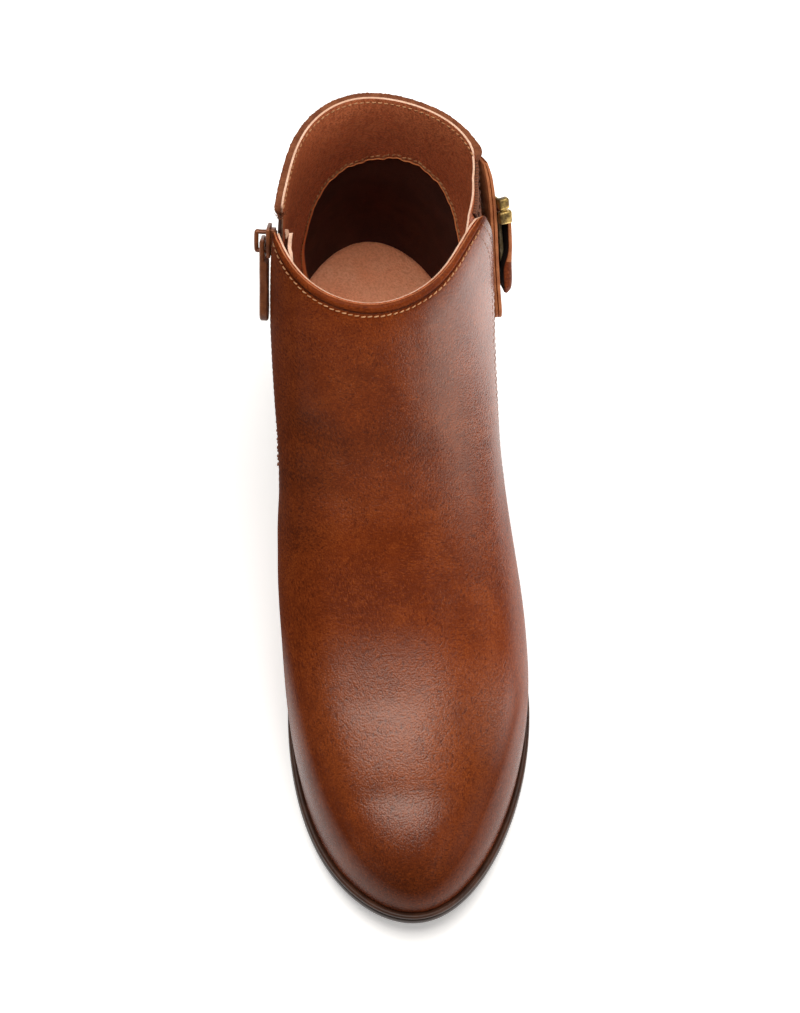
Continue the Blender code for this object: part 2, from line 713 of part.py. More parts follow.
def heel():
    """Low block with a hollowed breast, its sides drawn in a little towards the floor."""
    edges, (_, back) = sole_outline(MARGIN)
    start = BREAST + 1.0
    ys = start + (back - 0.6 - start) * np.sin(np.linspace(0, np.pi / 2, HEEL_STATIONS))
    outer, inner = edges(ys)
    middle = (outer + inner) / 2
    rings = []
    for draw, on_floor in ((HEEL_DRAW_FOOT, True), (HEEL_DRAW_TOP, False)):
        half = np.maximum((outer - inner) / 2 - draw, HEEL_LEAST)
        y = start + (ys - start) * (back - draw - start) / (back - start)
        loop = [(m + h, v) for m, h, v in zip(middle, half, y)]
        loop += [(m - h, v) for m, h, v in zip(middle, half, y)][::-1]
        for share in np.linspace(-1, 1, 9)[1:-1]:
            loop.append((middle[0] + half[0] * share, start + HEEL_HOLLOW * (1 - share**2)))
        height = [0.0 if on_floor else float(underside(v)) - GAP for _, v in loop]
        rings.append([(x, v, z) for (x, v), z in zip(loop, height)])
    count = len(rings[0])
    faces = [list(range(count)), list(range(count, 2 * count))]
    faces += [(i, (i + 1) % count, count + (i + 1) % count, count + i) for i in range(count)]
    return make("heel", rings[0] + rings[1], faces, "sole")


def main():
    for old in list(bpy.data.objects):
        bpy.data.objects.remove(old)
    boot = bpy.data.objects.new("boot", None)
    bpy.context.collection.objects.link(boot)
    bottom = [outsole(), welt(), heel(), insole()]
    side = [strap(), strap_end(), buckle(), buckle_prong()]
    closing = [gore(), zip_tape(), zip_chain(), zip_slider(), zip_pull()]
    for piece in [*bottom, upper(), *side, *closing]:
        piece.parent = boot


main()
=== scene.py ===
import bmesh
import bpy
import numpy as np
from mathutils import Matrix, Vector
from mathutils.bvhtree import BVHTree


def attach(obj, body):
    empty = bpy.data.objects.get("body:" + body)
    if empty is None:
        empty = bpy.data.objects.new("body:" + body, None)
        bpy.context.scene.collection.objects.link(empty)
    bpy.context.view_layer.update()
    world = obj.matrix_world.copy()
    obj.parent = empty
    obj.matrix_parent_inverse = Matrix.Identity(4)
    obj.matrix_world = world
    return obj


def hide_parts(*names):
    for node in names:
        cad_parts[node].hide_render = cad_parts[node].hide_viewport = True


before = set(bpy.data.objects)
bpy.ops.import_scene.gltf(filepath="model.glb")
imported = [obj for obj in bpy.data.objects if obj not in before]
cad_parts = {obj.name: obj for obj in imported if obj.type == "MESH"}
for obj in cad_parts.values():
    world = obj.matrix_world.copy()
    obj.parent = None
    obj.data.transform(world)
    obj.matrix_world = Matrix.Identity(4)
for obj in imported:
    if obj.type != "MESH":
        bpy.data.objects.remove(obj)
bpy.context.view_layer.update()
dice = np.random.default_rng(7)
mm = 0.001

# the last, in millimetres: x outwards, y back from the toe tip, z up from the floor
last = {
    "length": 267.0, "ballWidth": 86.0, "shaftBack": 146.0, "shaftFront": 129.0,
    "toeSpring": 8.0, "treadFront": 58.0, "treadBack": 112.0,
    "breast": 203.0, "breastRise": 22.5, "heelPitch": 0.04,
    "outsole": 3.4, "welt": 2.0, "gap": 0.3, "margin": 2.1,
    "wall": 2.2, "lap": 0.8, "centre": (1.84, 133.38, 0.0),
}
last["sole"] = last["outsole"] + last["welt"] + 2 * last["gap"]

# rings up the last: level, back y, back rise, front y, front rise, back x, front x,
# then half widths: heel out, heel in, waist out, waist in, ball out, ball in, toe (percent)
lastRings = np.array([
    (0.00, 98.9, 0.0, 0.9, 0.0, 0.5, 0.0, 34.5, 34.5, 38.5, 33.0, 52.0, 43.5, 32.5),
    (0.08, 99.8, 7.8, 1.5, 5.2, 0.0, 0.0, 35.5, 35.5, 42.0, 37.0, 54.0, 46.0, 32.5),
    (0.18, 100.0, 17.4, 3.0, 12.2, 0.0, -0.5, 35.5, 36.0, 43.0, 39.0, 54.0, 47.0, 31.5),
    (0.30, 99.3, 27.8, 6.9, 19.6, -0.5, -1.0, 35.5, 36.0, 44.0, 40.0, 53.0, 47.0, 30.0),
    (0.42, 98.1, 38.7, 15.7, 27.4, -0.5, -2.5, 35.5, 35.0, 45.0, 40.5, 50.5, 46.0, 28.5),
    (0.55, 96.8, 50.9, 28.1, 36.5, -1.0, -3.0, 35.0, 33.5, 45.5, 40.5, 47.5, 43.0, 27.0),
    (0.68, 95.9, 63.5, 41.2, 49.1, -1.0, -3.5, 35.0, 32.0, 46.0, 40.5, 45.5, 42.0, 25.5),
    (0.80, 95.3, 76.1, 52.4, 65.7, -1.5, -4.0, 33.5, 29.0, 47.0, 40.0, 43.5, 41.0, 24.5),
    (0.90, 95.1, 87.8, 60.3, 82.6, -2.0, -4.5, 32.0, 26.0, 47.5, 38.0, 42.0, 39.5, 24.0),
    (1.00, 95.3, 100.0, 67.0, 100.0, -2.5, -4.5, 31.0, 23.5, 46.5, 35.5, 40.0, 38.0, 23.5),
])
widthsAt = (0.11, 0.40, 0.66, 0.91)
ringSpacing = [0.30, 0.40, 0.37, 0.37, 0.29]
outerSeamRows = [(10.0, 128.0), (78.0, 169.0), (101.0, 197.0), (118.0, 209.0), (137.0, 210.0)]
innerSeamRows = [(10.0, 126.0), (78.0, 166.0), (101.0, 194.0), (118.0, 206.0), (137.0, 207.5)]


def cubic(knots, values, at, closed=False):
    # smooth curve through the values at the knots
    knots, values = np.asarray(knots, float), np.asarray(values, float)
    at = np.asarray(at, float)
    count = len(knots)
    step = np.diff(knots)
    slope = np.diff(values, axis=0) / step[:, None]
    system = np.eye(count)
    right = np.zeros_like(values)
    for i in range(1, count - 1):
        system[i, i - 1 : i + 2] = step[i - 1], 2 * (step[i - 1] + step[i]), step[i]
        right[i] = 6 * (slope[i] - slope[i - 1])
    if closed:
        system[0, -1] = -1
        system[-1, [1, 0, -2]] = step[0], 2 * (step[0] + step[-1]), step[-1]
        system[-1, -1] = 0
        right[-1] = 6 * (slope[0] - slope[-1])
    bend = np.linalg.solve(system, right)
    i = np.clip(np.searchsorted(knots, at) - 1, 0, count - 2)
    width = step[i][:, None]
    past = (at - knots[i])[:, None]
    ahead = (knots[i + 1] - at)[:, None]
    curve = (bend[i] * ahead**3 + bend[i + 1] * past**3) / (6 * width)
    curve += (values[i] / width - bend[i] * width / 6) * ahead
    return curve + (values[i + 1] / width - bend[i + 1] * width / 6) * past


def underside(y):
    y = np.asarray(y, float)
    spring = last["toeSpring"] * (np.clip(last["treadFront"] - y, 0, None) / last["treadFront"]) ** 2
    arch = last["breast"] - last["treadBack"]
    s = np.clip((y - last["treadBack"]) / arch, 0, 1)
    rise = last["breastRise"] * s**2 * (3 - 2 * s) + last["heelPitch"] * arch * (s**3 - s**2)
    return spring + rise + last["heelPitch"] * np.clip(y - last["breast"], 0, None)


def seat(y):
    return underside(y) + last["sole"]


ringKnots = np.cumsum([0, *ringSpacing, *ringSpacing[::-1]]) / (2 * sum(ringSpacing))
ringAlong = np.array([0, *widthsAt, 1, *widthsAt[::-1], 0])


def spread(*values):
    return np.broadcast_arrays(*(np.asarray(v, float) for v in values))


def ring(level, around):
    # points of the skin: around is 0 at the back and grows by the outer side
    level, around = spread(level, around)
    shape = level.shape
    level, around = level.ravel(), around.ravel()
    r = cubic(lastRings[:, 0], lastRings[:, 1:], level).T
    backY, backRise, frontY, frontRise, backX, frontX = r[:6]
    heelOut, heelIn, waistOut, waistIn, ballOut, ballIn, toe = r[6:]
    none = np.zeros_like(level)
    sides = [none, heelOut, waistOut, ballOut, toe, none, -toe, -ballIn, -waistIn, -heelIn, none]
    share = cubic(ringKnots, np.eye(len(ringKnots)), around % 1.0, closed=True)
    along = share @ ringAlong
    x = (share * np.array(sides).T).sum(1) + backX + (frontX - backX) * along
    x = x * last["ballWidth"] / 100
    y = last["length"] / 100 * (backY + (frontY - backY) * along)
    ends = last["length"] / 100 * lastRings[0, [3, 1]]
    toeSeat, heelSeat = seat(ends)
    backZ = heelSeat + (last["shaftBack"] - heelSeat) * backRise / 100
    frontZ = toeSeat + (last["shaftFront"] - toeSeat) * frontRise / 100
    chord = toeSeat + (heelSeat - toeSeat) * (y - ends[0]) / (ends[1] - ends[0])
    dip = (seat(y) - chord) * (1 - level) ** 2
    z = backZ + (frontZ - backZ) * along + dip
    return np.stack([x, y, z], 1).reshape(*shape, 3)


def skinNormal(level, around):
    nudge = 1e-3
    level, around = spread(level, around)
    across = ring(level, around + nudge) - ring(level, around - nudge)
    up = ring(level + nudge, around) - ring(level - nudge, around)
    normal = np.cross(up, across)
    normal[..., 2] = np.where(level == 0, 0, normal[..., 2])
    return unit(normal)


def skin(level, around, off=0.0):
    level, around, off = spread(level, around, off)
    return ring(level, around) + skinNormal(level, around) * off[..., None]


def lineOf(rows):
    rows = np.array(rows)
    return lambda z: cubic(rows[:, 0], rows[:, 1:], z)[:, 0]


outerSeam, innerSeam = lineOf(outerSeamRows), lineOf(innerSeamRows)


def shifted(line, by):
    return lambda at: line(at) + by


def crossing(line, outer):
    # where a line y(z) crosses each level, as a function of level
    levels = np.linspace(0, 1.02, 80)
    around = np.linspace(0.0 if outer else 1.0, 0.5, 400)
    found = []
    for level in levels:
        points = ring(level, around)
        found.append(np.interp(0, line(points[:, 2]) - points[:, 1], around))
    return lambda level: np.interp(level, levels, found)


def hump(distance, width):
    return np.exp(-((distance / width) ** 2))


def between(start, end, share):
    return start + (end - start) * share


def runLength(points):
    steps = np.linalg.norm(np.diff(points, axis=0), axis=1)
    return np.concatenate([[0], np.cumsum(steps)])


def unit(vectors):
    return vectors / np.linalg.norm(vectors, axis=-1)[..., None]


def toFrame(points):
    return (np.asarray(points, float) - last["centre"]) * mm


# materials: sockets wrapped so that maths reads as maths
class Wire:
    def __init__(self, finish, socket):
        self.finish, self.socket = finish, socket

    def maths(self, operation, *others):
        values = dict(enumerate(others))
        return self.finish.add("ShaderNodeMath", {"operation": operation}, values)

    def __add__(self, other):
        return self.maths("ADD", self, other)

    def __sub__(self, other):
        return self.maths("SUBTRACT", self, other)

    def __mul__(self, other):
        return self.maths("MULTIPLY", self, other)

    def __rsub__(self, other):
        return self.maths("SUBTRACT", other, self)

    __radd__ = __add__
    __rmul__ = __mul__


class Finish:
    def __init__(self, name, **fixed):
        self.material = bpy.data.materials.new(name)
        self.material.use_nodes = True
        self.tree = self.material.node_tree
        self.shader = self.tree.nodes["Principled BSDF"]
        for key, value in self.named(fixed).items():
            self.shader.inputs[key].default_value = value
        self.place = self.add("ShaderNodeTexCoord", out="Object")

    def named(self, fixed):
        return {key.replace("_", " "): value for key, value in fixed.items()}

    def add(self, kind, settings=None, sockets=None, out=0):
        node = self.tree.nodes.new(kind)
        for key, value in (settings or {}).items():
            if key == "stops":
                while len(node.color_ramp.elements) < len(value):
                    node.color_ramp.elements.new(0.5)
                for element, (position, colour) in zip(node.color_ramp.elements, value):
                    element.position = position
                    element.color = (*colour, 1.0)
            else:
                setattr(node, key, value)
        for key, value in (sockets or {}).items():
            self.join(value, node.inputs[key])
        return Wire(self, node.outputs[out])

    def join(self, value, socket):
        if isinstance(value, Wire):
            self.tree.links.new(value.socket, socket)
        elif isinstance(value, tuple) and socket.type == "RGBA":
            socket.default_value = (*value[:3], 1.0)
        else:
            socket.default_value = value

    def feed(self, name, value):
        self.join(value, self.shader.inputs[name])

    def noise(self, size, detail=3.0, rough=0.55, vector=None, **more):
        # size of one blotch in millimetres
        sockets = {"Vector": vector or self.place, "Scale": 1000.0 / size, "Detail": detail,
                   "Roughness": rough, **more}
        return self.add("ShaderNodeTexNoise", None, sockets)

    def cells(self, size, smooth):
        sockets = {"Vector": self.place, "Scale": 1000.0 / size, "Smoothness": smooth}
        return self.add("ShaderNodeTexVoronoi", {"feature": "SMOOTH_F1"}, sockets)

    def stretch(self, scale, turn=(0.0, 0.0, 0.0)):
        sockets = {"Vector": self.place, "Scale": scale, "Rotation": turn}
        return self.add("ShaderNodeMapping", None, sockets)

    def mask(self, value, low, high):
        sockets = {"Value": value, "From Min": low, "From Max": high}
        return self.add("ShaderNodeMapRange", {"interpolation_type": "SMOOTHSTEP"}, sockets)

    def mix(self, amount, first, second):
        return self.add("ShaderNodeMix", {"data_type": "RGBA"}, {0: amount, 6: first, 7: second}, 2)

    def marks(self, colour, rows):
        # rows: field, where it starts and is full, strength, tone
        for field, low, high, strength, tone in rows:
            colour = self.mix(self.mask(field, low, high) * strength, colour, tone)
        return colour

    def painted(self, name):
        return self.add("ShaderNodeAttribute", {"attribute_name": name}, None, "Fac")

    def dullWhere(self, amount, **fixed):
        # a second, duller coat of the same look, mixed in by amount
        sockets = self.named(fixed)
        for name in ("Base Color", "Normal"):
            sockets[name] = Wire(self, self.shader.inputs[name].links[0].from_socket)
        dull = self.add("ShaderNodeBsdfPrincipled", None, sockets)
        polished = Wire(self, self.shader.outputs[0])
        mixed = self.add("ShaderNodeMixShader", None, {0: amount, 1: polished, 2: dull})
        self.join(mixed, self.tree.nodes["Material Output"].inputs["Surface"])

    def bump(self, height, depth):
        return self.add("ShaderNodeBump", None, {"Height": height, "Distance": depth * mm})


# meshes
def rawMesh(name, points, faces):
    mesh = bpy.data.meshes.new(name)
    mesh.from_pydata(np.asarray(points).tolist(), [], [list(f) for f in faces])
    return mesh


def addObject(name, data):
    thing = bpy.data.objects.new(name, data)
    bpy.context.scene.collection.objects.link(thing)
    return thing


def meshPiece(name, points, faces, finishes, slots=None, body="boot", sharp=0.7, tidy=False):
    weld = 2e-6
    mesh = rawMesh(name, toFrame(points), faces)
    for finish in finishes:
        mesh.materials.append(finish.material)
    if slots is not None:
        mesh.polygons.foreach_set("material_index", np.asarray(slots, np.int32))
    work = bmesh.new()
    work.from_mesh(mesh)
    if tidy:
        bmesh.ops.remove_doubles(work, verts=work.verts, dist=weld)
        bmesh.ops.dissolve_degenerate(work, edges=work.edges, dist=weld)
    bmesh.ops.delete(work, geom=[v for v in work.verts if not v.link_faces], context="VERTS")
    bmesh.ops.recalc_face_normals(work, faces=work.faces)
    work.to_mesh(mesh)
    work.free()
    mesh.shade_smooth()
    mesh.set_sharp_from_angle(angle=sharp)
    piece = addObject(name, mesh)
    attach(piece, body)
    return piece


def paint(piece, name, values):
    layer = piece.data.attributes.new(name, "FLOAT", "POINT")
    layer.data.foreach_set("value", np.ascontiguousarray(values, np.float32).ravel())


def paintOutside(piece, name, values):
    # the inner face of a sheet stays bare
    paint(piece, name, np.concatenate([values.ravel(), np.zeros(values.size)]))


def sheetFaces(rows, columns, keep=None):
    # faces of a closed sheet between an outer and an inner grid: outside, inside, rim
    cells = columns - 1
    if keep is None:
        keep = np.ones((rows - 1, cells), bool)
    i, j = np.nonzero(keep)

    def at(side, a, b):
        return (side * rows + a) * columns + b

    corners = [(i, j), (i, j + 1), (i + 1, j + 1), (i + 1, j)]
    outside = np.stack([at(0, *c) for c in corners], 1)
    inside = np.stack([at(1, *c) for c in corners[::-1]], 1)
    rims = []
    for k, (di, dj) in enumerate([(-1, 0), (0, 1), (1, 0), (0, -1)]):
        ni, nj = i + di, j + dj
        held = (ni >= 0) & (ni < rows - 1) & (nj >= 0) & (nj < cells)
        bare = ~held
        bare[held] = ~keep[ni[held], nj[held]]
        a, b = corners[k], corners[(k + 1) % 4]
        rims.append(np.stack([at(0, *b), at(0, *a), at(1, *a), at(1, *b)], 1)[bare])
    return outside, inside, np.concatenate(rims)


def sheetPiece(name, outer, inner, finishes, keep=None):
    # finishes: outside, rim and inside
    rows, columns = outer.shape[:2]
    parts = sheetFaces(rows, columns, keep)
    faces = np.concatenate(parts)
    slot = np.repeat([0, 2 % len(finishes), 1 % len(finishes)], [len(p) for p in parts])
    points = np.concatenate([outer.reshape(-1, 3), inner.reshape(-1, 3)])
    return meshPiece(name, points, faces, finishes, slot)


def resample(points, normals, pitch):
    # even steps along a line: place, way ahead and way out
    reach = 0.3
    length = runLength(points)
    count = max(int(length[-1] / pitch), 1)
    at = (np.arange(count) + 0.5) * length[-1] / count

    def read(columns, where):
        return np.stack([np.interp(where, length, c) for c in columns.T], 1)

    ahead = read(points, at + reach) - read(points, at - reach)
    return read(points, at), unit(ahead), unit(read(normals, at))


# half a stitch: place along it, share of its girth, and height of its sunk end and shoulder
stitchLook = {"along": [0.5, 0.42, 0.2], "girth": [0.35, 0.85, 1.0], "end": -0.25, "shoulder": 0.1,
              "sides": 6, "wobble": 0.05}


def stitchRow(points, normals, pitch, length, radius, rise, slant=0.0):
    # short threads along a line, their ends sunk in the leather
    middle, ahead, out = resample(points, normals, pitch)
    side = np.cross(out, ahead)
    sides = stitchLook["sides"]
    half, girth = np.array(stitchLook["along"]) * length, np.array(stitchLook["girth"]) * radius
    height = np.array([stitchLook["end"], stitchLook["shoulder"], rise])
    along = np.concatenate([-half, half[::-1]])
    height, girth = (np.concatenate([v, v[::-1]]) for v in (height, girth))
    turn = np.linspace(0, 2 * np.pi, sides, endpoint=False)
    faces = loftFaces(len(along), sides)
    parts = []
    for m, a, o, s in zip(middle, ahead, out, side):
        shift = slant * along + dice.normal(0, stitchLook["wobble"])
        core = m + np.outer(along, a) + np.outer(height, o) + np.outer(shift, s)
        hoop = np.outer(np.cos(turn), s) + np.outer(np.sin(turn), o)
        parts.append(((core[:, None] + girth[:, None, None] * hoop).reshape(-1, 3), faces))
    return gather(parts)


def stitchPiece(name, rows, finish):
    return meshPiece(name, *gather(rows), [finish], sharp=2.5)


def rounds(side, top, wide, high, sides):
    # rings of points round a path, given the two ways across it
    turn = np.linspace(0, 2 * np.pi, sides, endpoint=False)[None, :, None]
    return np.cos(turn) * side[:, None] * wide + np.sin(turn) * top[:, None] * high


def tubeGrid(path, sides, radii, upward):
    ahead = unit(np.gradient(path, axis=0))
    side = unit(np.cross(ahead, upward))
    radii = np.asarray(radii)[:, None, None]
    return path[:, None] + rounds(side, np.cross(side, ahead), radii, radii, sides)


def loftFaces(rows, columns):
    # sides of a row of rings, then a cap at each end
    faces = []
    for a in range(0, (rows - 1) * columns, columns):
        b = a + columns
        for j in range(columns):
            k = (j + 1) % columns
            faces.append([a + j, a + k, b + k, b + j])
    faces.append([*range(columns)][::-1])
    faces.append([(rows - 1) * columns + j for j in range(columns)])
    return faces


def roundedBox(low, high, radius, segments=3):
    # corner points and faces of a box with rolled edges, in its own axes
    work = bmesh.new()
    low, high = np.array(low), np.array(high)
    bmesh.ops.create_cube(work, size=1.0)
    for v in work.verts:
        v.co = Vector(low + (np.array(v.co) + 0.5) * (high - low))
    bmesh.ops.bevel(work, geom=list(work.edges), offset=radius, segments=segments, profile=0.5,
                    affect="EDGES")
    work.verts.index_update()
    points = np.array([v.co for v in work.verts])
    faces = [[v.index for v in f.verts] for f in work.faces]
    work.free()
    return points, faces


def gather(parts):
    points, faces = [], []
    total = 0
    for p, f in parts:
        points.append(np.asarray(p))
        faces += [[i + total for i in face] for face in f]
        total += len(p)
    return np.concatenate(points), faces


print("tools ready")

# finishes
# leather tones: the darkest tone is both a burnish and painted shade, and worn is a lighter tone that
# also serves as painted light on the vamp's top
leatherLook = {
    "mid": (0.180, 0.0325, 0.0058), "dark": (0.100, 0.0165, 0.0035), "warm": (0.235, 0.049, 0.0090),
    "worn": (0.300, 0.066, 0.0110), "burnish": (0.036, 0.0075, 0.0026), "polished": 0.25,
}


def leatherFinish(name, look, grainDepth=0.15, painted=True):
    f = Finish(name, Specular_IOR_Level=0.55, Specular_Tint=(1.0, 0.95, 0.90, 1.0))
    cloud = f.noise(46, 4, 0.6)
    patch = f.noise(13, 5, 0.62)
    mottle = f.noise(4.5, 3, 0.6)
    fleck = f.noise(1.3, 3, 0.6)
    pebble = f.cells(0.62, 0.6)
    wrinkleA = f.noise(0.6, 3, 0.6, f.stretch((0.36, 1.0, 1.0), (0.2, 0.1, 0.5)), Distortion=0.6)
    wrinkleB = f.noise(0.6, 3, 0.6, f.stretch((1.0, 0.32, 1.0), (0.1, 0.3, -0.3)), Distortion=0.6)
    blend = f.mask(f.noise(20, 2), 0.46, 0.64)
    creased = wrinkleA * blend + wrinkleB * (1 - blend)
    colour = f.mix(f.mask(cloud, 0.30, 0.56), look["dark"], look["mid"])
    if painted:
        # a lighter tone where painted: partly wear and partly painted light on top-facing skin
        colour = f.mix(f.painted("worn"), colour, look["worn"])
    colour = f.marks(colour, [
        (patch, 0.48, 0.70, 0.60, look["warm"]), (patch, 0.50, 0.30, 0.50, look["dark"]),
        (mottle, 0.52, 0.70, 0.45, look["warm"]), (mottle, 0.48, 0.30, 0.45, look["dark"]),
        (creased, 0.52, 0.64, 0.65, look["warm"]), (creased, 0.49, 0.36, 0.80, look["dark"]),
        (pebble, 0.34, 0.58, 0.45, look["dark"]), (creased, 0.45, 0.30, 0.35, look["burnish"]),
    ])
    if painted:
        # the darkest tone where painted: burnish, and painted shade in creases, the collar's groove and
        # on the inner side
        grainy = 1.22 - f.mask(creased, 0.38, 0.62) * 0.45
        colour = f.mix(f.painted("burnish") * grainy, colour, look["burnish"])
    f.feed("Base Color", colour)
    f.feed("Roughness", fleck * 0.16 + (look["polished"] - 0.08))
    f.feed("Normal", f.bump(creased * 0.8 - pebble * 0.4, grainDepth))
    dull = 1 - f.painted("polish") if painted else 0.3 + cloud * 0.4
    f.dullWhere(dull, Specular_IOR_Level=0.01, Roughness=0.6)
    return f


leather = leatherFinish("leatherFront", leatherLook)
strapLeather = leatherFinish("leatherStrap", {**leatherLook, "mid": (0.16, 0.042, 0.016)}, painted=False)


def plainFinish(name, sizes, rough, depth, tones, edge=None):
    # three tones mottled at two sizes, with a fine nap
    f = Finish(name, Specular_IOR_Level=0.2)
    cloud, speck = f.noise(sizes[0], 4, 0.6), f.noise(sizes[1], 3, 0.65)
    colour = f.mix(f.mask(cloud, 0.35, 0.65), tones[0], tones[1])
    colour = f.marks(colour, [(speck, 0.40, 0.72, 0.5, tones[2])])
    if edge:
        colour = f.mix(f.painted(edge[0]), colour, edge[1])
    f.feed("Base Color", colour)
    f.feed("Roughness", speck * 0.2 + (rough - 0.1))
    f.feed("Normal", f.bump(speck, depth))
    return f


rawEdge = plainFinish(
    "rawLeatherEdge", (5, 0.35), 0.75, 0.12,
    [(0.29, 0.090, 0.032), (0.42, 0.150, 0.058), (0.15, 0.045, 0.018)])
darkEdge = plainFinish(
    "raggedEdge", (4, 0.4), 0.8, 0.18, [(0.15, 0.042, 0.016), (0.23, 0.075, 0.03), (0.06, 0.018, 0.008)])
creamEdge = plainFinish(
    "liningEdge", (6, 0.5), 0.75, 0.06, [(0.62, 0.38, 0.26), (0.74, 0.50, 0.37), (0.48, 0.25, 0.15)])
thread = plainFinish(
    "stitchThread", (5, 0.35), 0.6, 0.06,
    [(0.40, 0.175, 0.075), (0.54, 0.28, 0.135), (0.24, 0.09, 0.036)])
darkThread = plainFinish(
    "darkThread", (5, 0.35), 0.6, 0.06, [(0.05, 0.018, 0.01), (0.09, 0.03, 0.015), (0.025, 0.01, 0.006)])
seamThread = plainFinish(
    "seamThread", (5, 0.35), 0.6, 0.06,
    [(0.16, 0.055, 0.022), (0.25, 0.10, 0.045), (0.08, 0.025, 0.012)])
gripCloth = plainFinish(
    "heelGripNap", (14, 0.5), 0.9, 0.08,
    [(0.050, 0.015, 0.009), (0.070, 0.021, 0.012), (0.030, 0.009, 0.006)],
    edge=("band", (0.78, 0.27, 0.10)))
# painted shade: near black for the hollow inside the strap's folded end and its hidden lower layer
hollowShade = plainFinish(
    "paintedHollowShade", (6, 0.5), 0.9, 0.08,
    [(0.012, 0.005, 0.004), (0.02, 0.008, 0.005), (0.008, 0.004, 0.003)])
tapeCloth = plainFinish(
    "zipTapeWeave", (6, 0.5), 0.85, 0.1,
    [(0.03, 0.012, 0.008), (0.045, 0.018, 0.011), (0.018, 0.008, 0.006)])


def liningFinish(name, depth, speckle, tones):
    f = Finish(name, Specular_IOR_Level=0.25)
    cloud = f.noise(24, 4, 0.6)
    pore = f.cells(0.8, 0.5)
    crease = f.noise(1.5, 3, 0.6, f.stretch((1.0, 1.0, 0.4)))
    colour = f.mix(f.mask(cloud, 0.35, 0.68), tones[0], tones[1])
    rows = [(pore, 0.42, 0.62, speckle, tones[2]), (crease, 0.49, 0.36, speckle, tones[2])]
    colour = f.marks(colour, rows)
    f.feed("Base Color", colour)
    f.feed("Roughness", pore * 0.15 + 0.42)
    f.feed("Normal", f.bump(crease * 0.9 - pore * 0.6, depth))
    return f


lining = liningFinish(
    "liningLeather", 0.42, 0.5, [(0.52, 0.140, 0.054), (0.62, 0.185, 0.075), (0.30, 0.072, 0.026)])
footbed = liningFinish(
    "footbedLeather", 0.40, 0.3, [(0.97, 0.365, 0.185), (0.98, 0.430, 0.240), (0.66, 0.205, 0.098)])
edgedLining = [lining, creamEdge, lining]


def elasticFinish():
    f = Finish("goreElastic", Specular_IOR_Level=0.2)
    weave = f.noise(0.5, 2, 0.6)
    rib = f.painted("rib")
    # painted shade: darker in the grooves between the ribs, lighter on their crests
    colour = f.mix(rib, (0.042, 0.014, 0.008), (0.175, 0.058, 0.026))
    colour = f.marks(colour, [(weave, 0.4, 0.7, 0.4, (0.18, 0.065, 0.030))])
    f.feed("Base Color", colour)
    f.feed("Roughness", weave * 0.2 + 0.65)
    f.feed("Normal", f.bump(weave, 0.12))
    return f


def brassFinish(name, bright, patina, rough, metal=1.0):
    f = Finish(name)
    cloud, speck = f.noise(3.2, 4, 0.65), f.noise(0.5, 3, 0.6)
    worn = f.mask(cloud, 0.38, 0.62)
    f.feed("Base Color", f.mix(worn, patina, bright))
    f.feed("Metallic", worn * 0.25 + (metal - 0.25))
    f.feed("Roughness", speck * 0.2 + (rough - 0.1) + (1 - worn) * 0.15)
    f.feed("Normal", f.bump(speck, 0.03))
    return f


def paintedMetal():
    f = Finish("zipPaint", Coat_Roughness=0.25, Specular_IOR_Level=0.3)
    cloud, speck = f.noise(5, 4, 0.6), f.noise(0.7, 3, 0.6)
    colour = f.mix(f.mask(cloud, 0.35, 0.65), (0.12, 0.034, 0.012), (0.22, 0.068, 0.023))
    colour = f.marks(colour, [(speck, 0.60, 0.76, 0.6, (0.42, 0.18, 0.07))])
    f.feed("Base Color", colour)
    f.feed("Metallic", f.mask(speck, 0.55, 0.8) * 0.5 + 0.2)
    f.feed("Roughness", speck * 0.2 + 0.3)
    f.feed("Coat Weight", cloud * 0.16)
    f.feed("Normal", f.bump(speck, 0.03))
    return f


def soleFinish(name, rough, coat, tones):
    f = Finish(name, Coat_Roughness=0.16, Specular_IOR_Level=0.22)
    streak = f.noise(3.0, 4, 0.65, f.stretch((0.25, 0.25, 1.6)))
    speck = f.noise(0.6, 3, 0.6)
    colour = f.mix(f.mask(streak, 0.36, 0.66), tones[0], tones[1])
    colour = f.marks(colour, [(speck, 0.55, 0.75, 0.35, tones[2])])
    f.feed("Base Color", colour)
    f.feed("Roughness", streak * 0.25 + (rough - 0.12))
    f.feed("Coat Weight", f.mask(speck, 0.7, 0.4) * coat)
    f.feed("Normal", f.bump(streak * 0.6 + speck * 0.4, 0.06))
    return f


elastic = elasticFinish()
brass = brassFinish("antiqueBrass", (0.42, 0.29, 0.10), (0.10, 0.062, 0.022), 0.34)
paleBrass = brassFinish("paleBrass", (0.62, 0.50, 0.30), (0.34, 0.25, 0.12), 0.3, 0.5)
zipPaint = paintedMetal()
soleEdge = soleFinish(
    "soleEdge", 0.34, 0.12, [(0.016, 0.007, 0.005), (0.035, 0.014, 0.008), (0.06, 0.026, 0.013)])
weltEdge = soleFinish(
    "weltEdge", 0.42, 0.08, [(0.036, 0.014, 0.008), (0.065, 0.024, 0.012), (0.10, 0.040, 0.021)])
print("finishes ready")

# lines round the upper
seamOut, seamIn = crossing(outerSeam, True), crossing(innerSeam, False)
goreShape = {"rear": 231.0, "round": 12.0, "roundFrom": 104.0, "foot": 0.62, "top": 0.975}
zipShape = {"slot": 7.0, "foot": 0.47, "top": 0.985, "chainTop": 0.95}


def goreY(z):
    drop = np.clip(goreShape["roundFrom"] - z, 0, goreShape["round"]) / goreShape["round"]
    return goreShape["rear"] - goreShape["round"] * drop**2


goreRear = crossing(goreY, True)
zipRear = crossing(shifted(innerSeam, zipShape["slot"]), False)
zipMiddle = crossing(shifted(innerSeam, zipShape["slot"] / 2), False)

